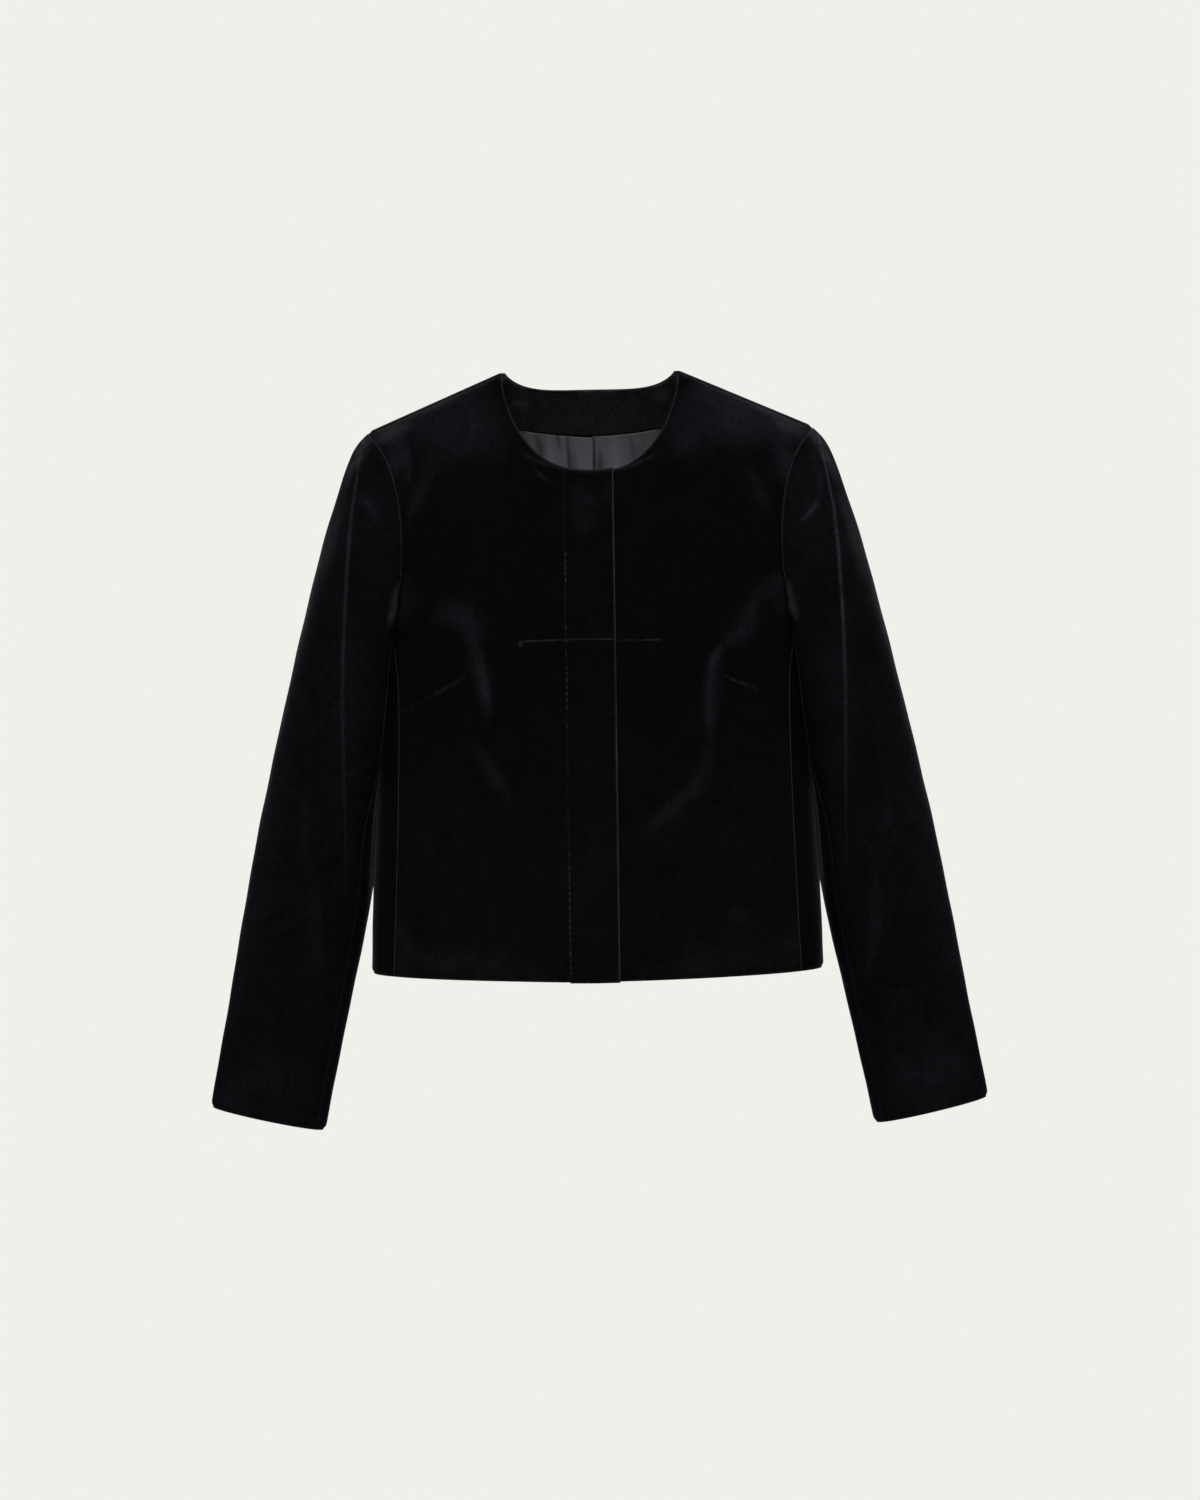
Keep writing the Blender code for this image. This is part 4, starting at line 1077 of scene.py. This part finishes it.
def armhole_point(place):
    """Points of the +X armhole: places count from the shoulder tip round by the front."""
    place = np.mod(place, LOOP_PLACES)
    before = armhole_edge(-1, np.clip(place / ARMHOLE_PLACES, 0, 1) ** ARMHOLE_CROWDING)
    behind = armhole_edge(1, np.clip((LOOP_PLACES - place) / ARMHOLE_PLACES, 0, 1) ** ARMHOLE_CROWDING)
    across = np.clip((place - ARMHOLE_PLACES) / UNDER_PLACES, 0, 1)
    angle, under_z = side_panel_place(across, np.zeros(np.shape(across)))
    under = side_point(angle, under_z, 1)
    found = np.where((place < ARMHOLE_PLACES)[..., None], body_point(before[..., 0], before[..., 1]), under)
    last = (place > ARMHOLE_PLACES + UNDER_PLACES)[..., None]
    return np.where(last, body_point(behind[..., 0], behind[..., 1]), found)


def sleeve_angle(place, row):
    """The angle from the outer line at which a place of the armhole is carried on down the sleeve."""
    place = np.where(place > LOOP_PLACES / 2 + UNDER_PLACES / 2, place - LOOP_PLACES, place)
    front_seam = np.interp(row, SLEEVE_SEAM_ROWS, SLEEVE_FRONT_SEAM_DEG)
    back_seam = np.interp(row, SLEEVE_SEAM_ROWS, SLEEVE_BACK_SEAM_DEG)
    even = np.clip(np.abs(place) / ARMHOLE_PLACES, 0, 1)
    even_out = ease(row / SLEEVE_HEAD_ROWS)
    share = even**ARMHOLE_CROWDING * (1 - even_out) + even * even_out
    top = share * np.where(place < 0, back_seam - 360, front_seam)
    under = front_seam + (back_seam - front_seam) * (place - ARMHOLE_PLACES) / UNDER_PLACES
    return np.where(place > ARMHOLE_PLACES, under, top)


def body_side_x(y, z):
    """How far the body's side reaches out at a depth and a height."""
    half, front_depth, back_depth = body_section(z)
    share = np.clip(np.abs(y) / np.where(y < 0, front_depth, back_depth), 0, 1)
    return half * (1 - share**2) ** (1 / BODY_SQUARENESS)


def turned_to(angle, centre, width):
    """A soft window round a direction, in degrees."""
    away = np.mod(angle - centre + 180, 360) - 180
    return bell(away, width)


def sleeve_columns(row):
    """The columns of the sleeve's sections at row positions."""
    return np.moveaxis(smooth_rows(SLEEVE_SECTIONS, row), -1, 0)


def sleeve_middle(row):
    """A point of the line inside the +X sleeve, halfway between its outer and its inner side."""
    outer_x, outer_z, inner_x, inner_z, _, _, middle_y, *_ = sleeve_columns(row)
    return np.stack([(outer_x + inner_x) / 2, middle_y, (outer_z + inner_z) / 2], axis=-1)


def sleeve_ring(angle, row):
    """A point of the plain sleeve of the +X side, before its head is fitted to the armhole."""
    outer_x, outer_z, inner_x, inner_z, before, behind, middle_y, *drape = sleeve_columns(row)
    ridge_angle, ridge, hug_angle, hug = drape
    cosine, sine = np.cos(np.radians(angle)), np.sin(np.radians(angle))
    out = np.sign(cosine) * np.abs(cosine) ** (2 / SLEEVE_SQUARENESS)
    forth = np.sign(sine) * np.abs(sine) ** (2 / SLEEVE_SQUARENESS)
    depth = np.where(sine > 0, before, behind)
    swell = 1 + ridge / SLEEVE_GIRTH_RADIUS * turned_to(angle, ridge_angle, SLEEVE_RIDGE_WIDTH_DEG)
    x = (outer_x + inner_x) / 2 + (outer_x - inner_x) / 2 * out * swell
    y = middle_y - depth * forth * swell
    z = (outer_z + inner_z) / 2 + (outer_z - inner_z) / 2 * out * swell
    against = body_side_x(y, z) + SLEEVE_CLEARANCE
    x = x + hug * turned_to(angle, hug_angle, SLEEVE_HUG_WIDTH_DEG) * np.minimum(against - x, 0)
    return np.stack([x, y, z], axis=-1)


def clear_of_body(points):
    """Moves points of the +X sleeve out until they hang just clear of the body's side."""
    points = np.array(points)
    z = points[..., 2]
    sunk = ease((SLEEVE_CLEARANCE_TOP_Z - z) / (SLEEVE_CLEARANCE_TOP_Z - SLEEVE_CLEARANCE_FULL_Z))
    side_x = body_side_x(points[..., 1], z) + SLEEVE_CLEARANCE * sunk
    beside = (z < SLEEVE_CLEARANCE_TOP_Z) & (z > HEM_Z - SLEEVE_CLEARANCE)
    points[..., 0] = np.where(beside, np.maximum(points[..., 0], side_x), points[..., 0])
    return points


def sleeve_point(place, row):
    """A point of the +X sleeve's outer face."""
    start = np.zeros(np.shape(row))
    fit = armhole_point(place) - sleeve_ring(sleeve_angle(place, start), start)
    kept = (1 - ease(row / SLEEVE_HEAD_ROWS))[..., None]
    points = clear_of_body(sleeve_ring(sleeve_angle(place, row), row) + fit * kept)
    points[..., 0] += SEWN_GAP
    return points


def sleeve_wall(node, side, places, front_folds, front_nap, finish):
    """A part of a sleeve between two seams."""
    row, place = np.meshgrid(LAST_ROW * spread(SLEEVE_LENGTH_STEPS), places, indexing="ij")
    points, inside = sleeve_point(place, row), sleeve_middle(row)
    x, z = points[..., 0], points[..., 2]
    out = sheet_normals(points, inside)
    before, behind = ease(-out[..., 1] / SLEEVE_FACING), ease(out[..., 1] / SLEEVE_FACING)
    soft = folds(x, z, front_folds) * before + folds(x, z, SLEEVE_BACK_FOLDS) * behind
    soft = soft + hand(x + points[..., 1], z, SLEEVE_HAND)
    relief = soft * calm(points, ("top", "left", "right"))
    borders = {"top": ARMHOLE, "bottom": TURNED, "right": SEAM, "left": SEAM}
    sewn = bell(lengths(points)["top"], ARMHOLE_NEAR)
    points, painted_highlight = finished(points, out, borders, relief, sewn)
    # Painted light on the sleeve: its base, painted highlights along the borders, and painted strokes before
    # and behind
    nap = SLEEVE_BASE_PAINTED_LIGHT + painted_highlight + stroke_sum(x, z, SLEEVE_INNER_PAINTED_LIGHT)
    nap = nap + stroke_sum(x, z, front_nap) * before + stroke_sum(x, z, SLEEVE_BACK_PAINTED_LIGHT) * behind
    flip = (side, 1, 1)
    cut = grid_cut(points, np.argmax(row[:, 0] >= SLEEVE_HEAD_ROWS))
    return cloth(node, points * flip, inside * flip, VELVET_CLOTH, finish, nap, cut)


def sleeve(word, side, front_folds, front_nap, finish):
    """A two-piece sleeve: the top sleeve over the arm and the under sleeve towards the body."""
    inset = SLEEVE_SEAM_INSET
    top = -ARMHOLE_PLACES + inset + 2 * (ARMHOLE_PLACES - inset) * spread(SLEEVE_TOP_STEPS)
    under = ARMHOLE_PLACES + inset + (UNDER_PLACES - 2 * inset) * spread(SLEEVE_UNDER_STEPS)
    walls = ((f"sleeve_top_{word}", top), (f"sleeve_under_{word}", under))
    return [sleeve_wall(node, side, places, front_folds, front_nap, finish) for node, places in walls]


# Inside the back


def facing_bottom(x):
    """How far below the ridge the facing ends."""
    return ridge_z(x) - (FACING_BOTTOM_Z + FACING_BOTTOM_CURVE * x**2)


def lining_top(x):
    """How far below the ridge the lining starts, under the facing and beside it."""
    return np.maximum(facing_bottom(x) + SEAM_GAP, LINING_TOP_DROP)


def lining_bottom(x):
    """How far below the ridge the lining ends."""
    return ridge_z(x) - HEM_Z - LINING_HEM_UP


def facing_top_way(x):
    """The way down to the back neck edge and, past the neck point, to the shoulder seam."""
    share = np.minimum(np.abs(x) / NECK_HALF_WIDTH, 1)
    drop = ridge_z(x) - back_neck_z(x) - SEAM_FORWARD * share**NECK_POINT_TURN
    return way_of(np.where(np.abs(x) < NECK_HALF_WIDTH, drop, -SEAM_FORWARD))


def back_neck_facing(finish):
    """The velvet facing inside the back neck: its right side looks at the wearer."""
    x, share = np.meshgrid(FACING_HALF_WIDTH * (2 * spread(FACING_STEPS) - 1), spread(FACING_ROWS))
    top = facing_top_way(x)
    way = top + (way_of(facing_bottom(x)) - top) * share
    out = body_normals(x, way)
    stand_off = FACING_STAND_OFF * ease((np.abs(x) - FACING_STAND_OFF_X) / FACING_STAND_OFF_RUN)
    points = body_point(x, way) - out * (VELVET_CLOTH + LAYER_GAP + stand_off + FACING_CLOTH)[..., None]
    points, painted_highlight = finished(points, -out, FACING_BORDERS, np.zeros(x.shape))
    # Painted light on the facing, which lifts it out of the shade inside the neck
    nap = FACING_BASE_PAINTED_LIGHT + painted_highlight + stroke_sum(x, points[..., 2], FACING_PAINTED_LIGHT)
    return cloth("back_neck_facing", points, points + out, FACING_CLOTH, finish, nap, body_cut(x, way))


def lining_half_width(z):
    """Half the lining's width at a height, a little less than the back's."""
    edge = np.array(BACK_ARMHOLE + BACK_SEAM[1:])
    return LINING_REACH * np.interp(-z, -edge[:, 1], edge[:, 0])


def lining_back(finish):
    """The satin lining with a pleat at the centre back and a few rumples."""
    columns = spread_parts(
        (0.5 - LINING_MIDDLE / 2, LINING_SIDE_STEPS, 0.0),
        (0.5 + LINING_MIDDLE / 2, LINING_MIDDLE_STEPS, 0.0),
        (1.0, LINING_SIDE_STEPS, 0.0),
    )
    rows = spread_parts((LINING_EDGE, LINING_EDGE_STEPS, 0.0), (1.0, LINING_ROWS, 0.0))
    across, share = np.meshgrid(2 * columns - 1, rows)
    side_top = ridge_z(SHOULDER_TIP_X) - LINING_TOP_DROP
    x = across * lining_half_width(side_top + (HEM_Z + LINING_HEM_UP - side_top) * share)
    top = way_of(lining_top(x))
    way = top + (way_of(lining_bottom(x)) - top) * share
    points, out = body_point(x, way), body_normals(x, way)
    z = points[..., 2]
    part = np.clip((LINING_PLEAT_X - x) / LINING_PLEAT_WIDTH, 0, 1)
    pleat = np.where(x < LINING_PLEAT_X, LINING_PLEAT_RISE * (1 - ease(part)), 0)
    depth = VELVET_CLOTH + LAYER_GAP + LINING_CLOTH + pleat + folds(x, z, LINING_FOLDS)
    points = points - out * depth[..., None]
    # Painted shade and painted highlights on the lining
    shade = LINING_BASE_SHADE + stroke_sum(x, z, LINING_PAINTED_SHADE_AND_LIGHT)
    return cloth("lining_back", points, points + out, LINING_CLOTH, finish, shade, grid_cut(points))


# Thread


def one_stitch():
    """A short upright stitch at the origin, with rounded ends."""
    deselect()
    bpy.ops.mesh.primitive_cylinder_add(
        vertices=STITCH_SIDES, radius=STITCH_RADIUS, depth=STITCH_LENGTH, end_fill_type="NGON"
    )
    made = bpy.context.object
    bpy.ops.object.mode_set(mode="EDIT")
    bpy.ops.mesh.select_mode(type="EDGE")
    bpy.ops.mesh.select_all(action="DESELECT")
    bpy.ops.object.mode_set(mode="OBJECT")
    for edge in made.data.edges:
        one, other = (made.data.vertices[index].co.z for index in edge.vertices)
        edge.select = one * other > 0
    bpy.ops.object.mode_set(mode="EDIT")
    bpy.ops.mesh.bevel(offset=STITCH_RADIUS * STITCH_ROUNDING, segments=STITCH_ROUND_STEPS, affect="EDGES")
    bpy.ops.object.mode_set(mode="OBJECT")
    return made


def placket_stitches(finish):
    """The row of stitches that holds the fly band, sunk in the pile."""
    first = one_stitch()
    top = front_neck_z(PLACKET_STITCH_X)
    count = int((top - HEM_Z) / STITCH_PITCH) - 1
    places = top - STITCH_PITCH * (1 + np.arange(count + 1))
    made = []
    for index, (z_up, z_down) in enumerate(zip(places[:-1], places[1:])):
        ends = on_panel(np.full(2, PLACKET_STITCH_X + STITCH_INSET), np.array([z_up, z_down]), -1)
        upper, lower = body_point(ends[:, 0], ends[:, 1])
        shown = sum(rise * bell(z_up - height, reach) for height, rise, reach in STITCH_SHOWS)
        stands = shown - STITCH_SINK + STITCH_UNEVEN * math.sin(STITCH_UNEVEN_TURN * index)
        lift = Vector((0, -(LAP_LIFT - STITCHED[0] + stands), 0))
        turn = Vector(lower - upper).to_track_quat("Z", "Y").to_matrix().to_4x4()
        middle = Vector((upper + lower) / 2) + lift
        copy = first.copy()
        copy.data = first.data.copy()
        copy.data.transform(Matrix.Translation(middle) @ turn)
        bpy.context.scene.collection.objects.link(copy)
        made.append(copy)
    bpy.data.objects.remove(first)
    deselect()
    for copy in made:
        copy.select_set(True)
    bpy.context.view_layer.objects.active = made[0]
    bpy.ops.object.join()
    row = bpy.context.object
    row.name = "placket_stitches"
    bpy.ops.object.shade_smooth()
    row.data.materials.clear()
    row.data.materials.append(finish)
    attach(row, "root")
    return row


# Finishes


class Shade:
    """A value in a finish: Python's operators on it add Math nodes."""

    def __init__(self, finish, socket):
        self.finish = finish
        self.socket = socket

    def maths(self, operation, first, second):
        return self.finish.node("ShaderNodeMath", {"operation": operation}, {0: first, 1: second})

    def __add__(self, other):
        return self.maths("ADD", self, other)

    def __radd__(self, other):
        return self.maths("ADD", other, self)

    def __sub__(self, other):
        return self.maths("SUBTRACT", self, other)

    def __rsub__(self, other):
        return self.maths("SUBTRACT", other, self)

    def __mul__(self, other):
        return self.maths("MULTIPLY", self, other)

    def __rmul__(self, other):
        return self.maths("MULTIPLY", other, self)


class Finish:
    """A material and the nodes that make it."""

    def __init__(self, name):
        self.material = bpy.data.materials.new(name)
        self.material.use_nodes = True
        self.nodes = self.material.node_tree.nodes
        self.links = self.material.node_tree.links
        self.shader = self.nodes["Principled BSDF"]

    def feed(self, socket, value):
        if isinstance(value, Shade):
            self.links.new(value.socket, socket)
        else:
            socket.default_value = value

    def node(self, kind, settings, sockets, output=0):
        """A node with its settings, its sockets' values or links, and the output that is used."""
        made = self.nodes.new(kind)
        for name, value in settings.items():
            setattr(made, name, value)
        for name, value in sockets.items():
            self.feed(made.inputs[name], value)
        return Shade(self, made.outputs[output])

    def place(self):
        return self.node("ShaderNodeTexCoord", {}, {}, "Object")

    def attribute(self, name):
        return self.node("ShaderNodeAttribute", {"attribute_name": name}, {}, "Fac")

    def mixed(self, share, first, second):
        """A colour between two colours."""
        return self.node("ShaderNodeMix", {"data_type": "RGBA"}, {0: share, 6: first, 7: second}, 2)

    def noise(self, place, scale, detail, distortion):
        sockets = {"Vector": place, "Scale": scale, "Detail": detail, "Distortion": distortion}
        return self.node("ShaderNodeTexNoise", {}, sockets, "Fac")

    def clamped(self, value):
        return self.node("ShaderNodeClamp", {}, {"Value": value})

    def bump(self, strength, distance, height):
        sockets = {"Strength": strength, "Distance": distance, "Height": height}
        return self.node("ShaderNodeBump", {}, sockets, "Normal")

    def surface(self, **sockets):
        """The finished material, with the values or links of its shader's sockets."""
        for name, value in sockets.items():
            self.feed(self.shader.inputs[name.replace("_", " ")], value)
        return self.material


def velvet():
    """Short black pile: almost no light straight on, a cool sheen where it turns away, and painted light
    mixed into its colour.
    """
    made = Finish("black_velvet")
    place, nap, plain = made.place(), made.attribute("nap"), made.attribute("plain")
    patches = made.noise(place, *VELVET_PATCHES)
    fine = made.noise(place, *VELVET_FINE)
    pile = made.noise(place, *VELVET_PILE)
    mottle = (patches - NOISE_MIDDLE) * MOTTLE + (fine - NOISE_MIDDLE) * MOTTLE
    share = made.clamped(nap * (1.0 + mottle * MOTTLE_OF_PAINTED_LIGHT) + mottle * MOTTLE_OF_DARK)
    # The painted light, mottled at random, takes the colour from black towards the painted sheen and
    # highlight colours
    light = made.mixed(made.clamped(nap * PAINTED_HIGHLIGHT_TINT_START + plain), VELVET_PAINTED_SHEEN, VELVET_PAINTED_HIGHLIGHT)
    return made.surface(
        Base_Color=made.mixed(share, VELVET_DARK, light),
        Roughness=VELVET_ROUGHNESS - share * VELVET_SMOOTHED,
        Normal=made.bump(PILE_BUMP, PILE_HEIGHT, pile + fine * PILE_FINE),
        Specular_IOR_Level=0.0,
        Sheen_Weight=VELVET_SHEEN,
        Sheen_Roughness=VELVET_SHEEN_ROUGHNESS,
        Sheen_Tint=VELVET_SHEEN_TINT,
    )


def satin():
    """Charcoal lining satin with a fine upright weave, and painted shade and highlights in its colour."""
    made = Finish("lining_satin")
    place, shade = made.place(), made.attribute("nap")
    weave_place = made.node("ShaderNodeMapping", {}, {"Vector": place, "Scale": LINING_WEAVE_STRETCH})
    weave = made.noise(weave_place, *LINING_WEAVE)
    cloud = made.noise(place, *LINING_CLOUD)
    uneven = (cloud - NOISE_MIDDLE) * LINING_CLOUD_SHADE + (weave - NOISE_MIDDLE) * LINING_WEAVE_SHADE
    return made.surface(
        Base_Color=made.mixed(made.clamped(shade + uneven), LINING_DARK, LINING_LIGHT),
        Roughness=LINING_ROUGHNESS + cloud * LINING_CLOUD_ROUGHNESS,
        Normal=made.bump(LINING_BUMP, LINING_BUMP_HEIGHT, weave),
        Specular_IOR_Level=LINING_GLOSS,
    )


def thread():
    """Black sewing thread with a slight gloss."""
    made = Finish("black_thread")
    sockets = {"Vector": made.place(), "Scale": THREAD_TWIST, "Distortion": THREAD_TWIST_UNEVEN}
    twist = made.node("ShaderNodeTexWave", {"bands_direction": "DIAGONAL"}, sockets, "Fac")
    return made.surface(
        Base_Color=made.mixed(twist, THREAD_DARK, THREAD_LIGHT),
        Roughness=THREAD_ROUGHNESS,
        Specular_IOR_Level=THREAD_GLOSS,
    )


# The studio


def stage():
    """A plain pale floor and the same pale surroundings."""
    deselect()
    bpy.ops.mesh.primitive_grid_add(
        x_subdivisions=FLOOR_CELLS, y_subdivisions=FLOOR_CELLS, size=FLOOR_SIZE, location=(0, 0, FLOOR_Z)
    )
    floor = bpy.context.object
    floor.name = "studio_floor"
    paper = Finish("studio_paper").surface(
        Base_Color=(0, 0, 0, 1),
        Emission_Color=BACKDROP_COLOUR,
        Emission_Strength=1.0,
        Specular_IOR_Level=0.0,
    )
    floor.data.materials.append(paper)
    world = bpy.data.worlds.new("studio_surroundings")
    world.use_nodes = True
    sky = world.node_tree.nodes["Background"]
    sky.inputs["Color"].default_value = BACKDROP_COLOUR
    sky.inputs["Strength"].default_value = 1.0
    bpy.context.scene.world = world


def lights():
    for index, (place, across, down, watts) in enumerate(SOFT_LIGHTS):
        bpy.ops.object.light_add(type="AREA", location=place)
        lamp = bpy.context.object
        lamp.name = f"soft_light_{index}"
        lamp.data.shape = "RECTANGLE"
        lamp.data.size, lamp.data.size_y = across, down
        lamp.data.energy = watts
        lamp.rotation_euler = (Vector(LIGHT_AIM) - Vector(place)).to_track_quat("-Z", "Y").to_euler()


def camera():
    """The photograph's view: straight on, from far, with a slight roll."""
    bpy.ops.object.camera_add(location=CAMERA_PLACE, rotation=(math.pi / 2, CAMERA_ROLL, 0))
    seen = bpy.context.object
    seen.data.sensor_fit = "HORIZONTAL"
    seen.data.sensor_width = SENSOR
    seen.data.lens = SENSOR * -CAMERA_PLACE[1] / CAMERA_FRAME_WIDTH
    bpy.context.scene.camera = seen
    bpy.context.scene.view_settings.view_transform = "Standard"


# The making

stage()
lights()
camera()

velvet_finish = velvet()
front_right = front("right", -1, PLACKET_STITCH_X, LAP_LIFT, velvet_finish)
front_left = front("left", 1, UNDERLAP_X, 0.0, velvet_finish)
band = placket(velvet_finish)
stitches = placket_stitches(thread())
back_cloth = back(velvet_finish)
side_right = side_panel("right", -1, velvet_finish)
side_left = side_panel("left", 1, velvet_finish)
top_right, under_right = sleeve("right", -1, RIGHT_SLEEVE_FOLDS, RIGHT_SLEEVE_PAINTED_LIGHT, velvet_finish)
top_left, under_left = sleeve("left", 1, LEFT_SLEEVE_FOLDS, LEFT_SLEEVE_PAINTED_LIGHT, velvet_finish)
facing = back_neck_facing(velvet_finish)
lining = lining_back(satin())
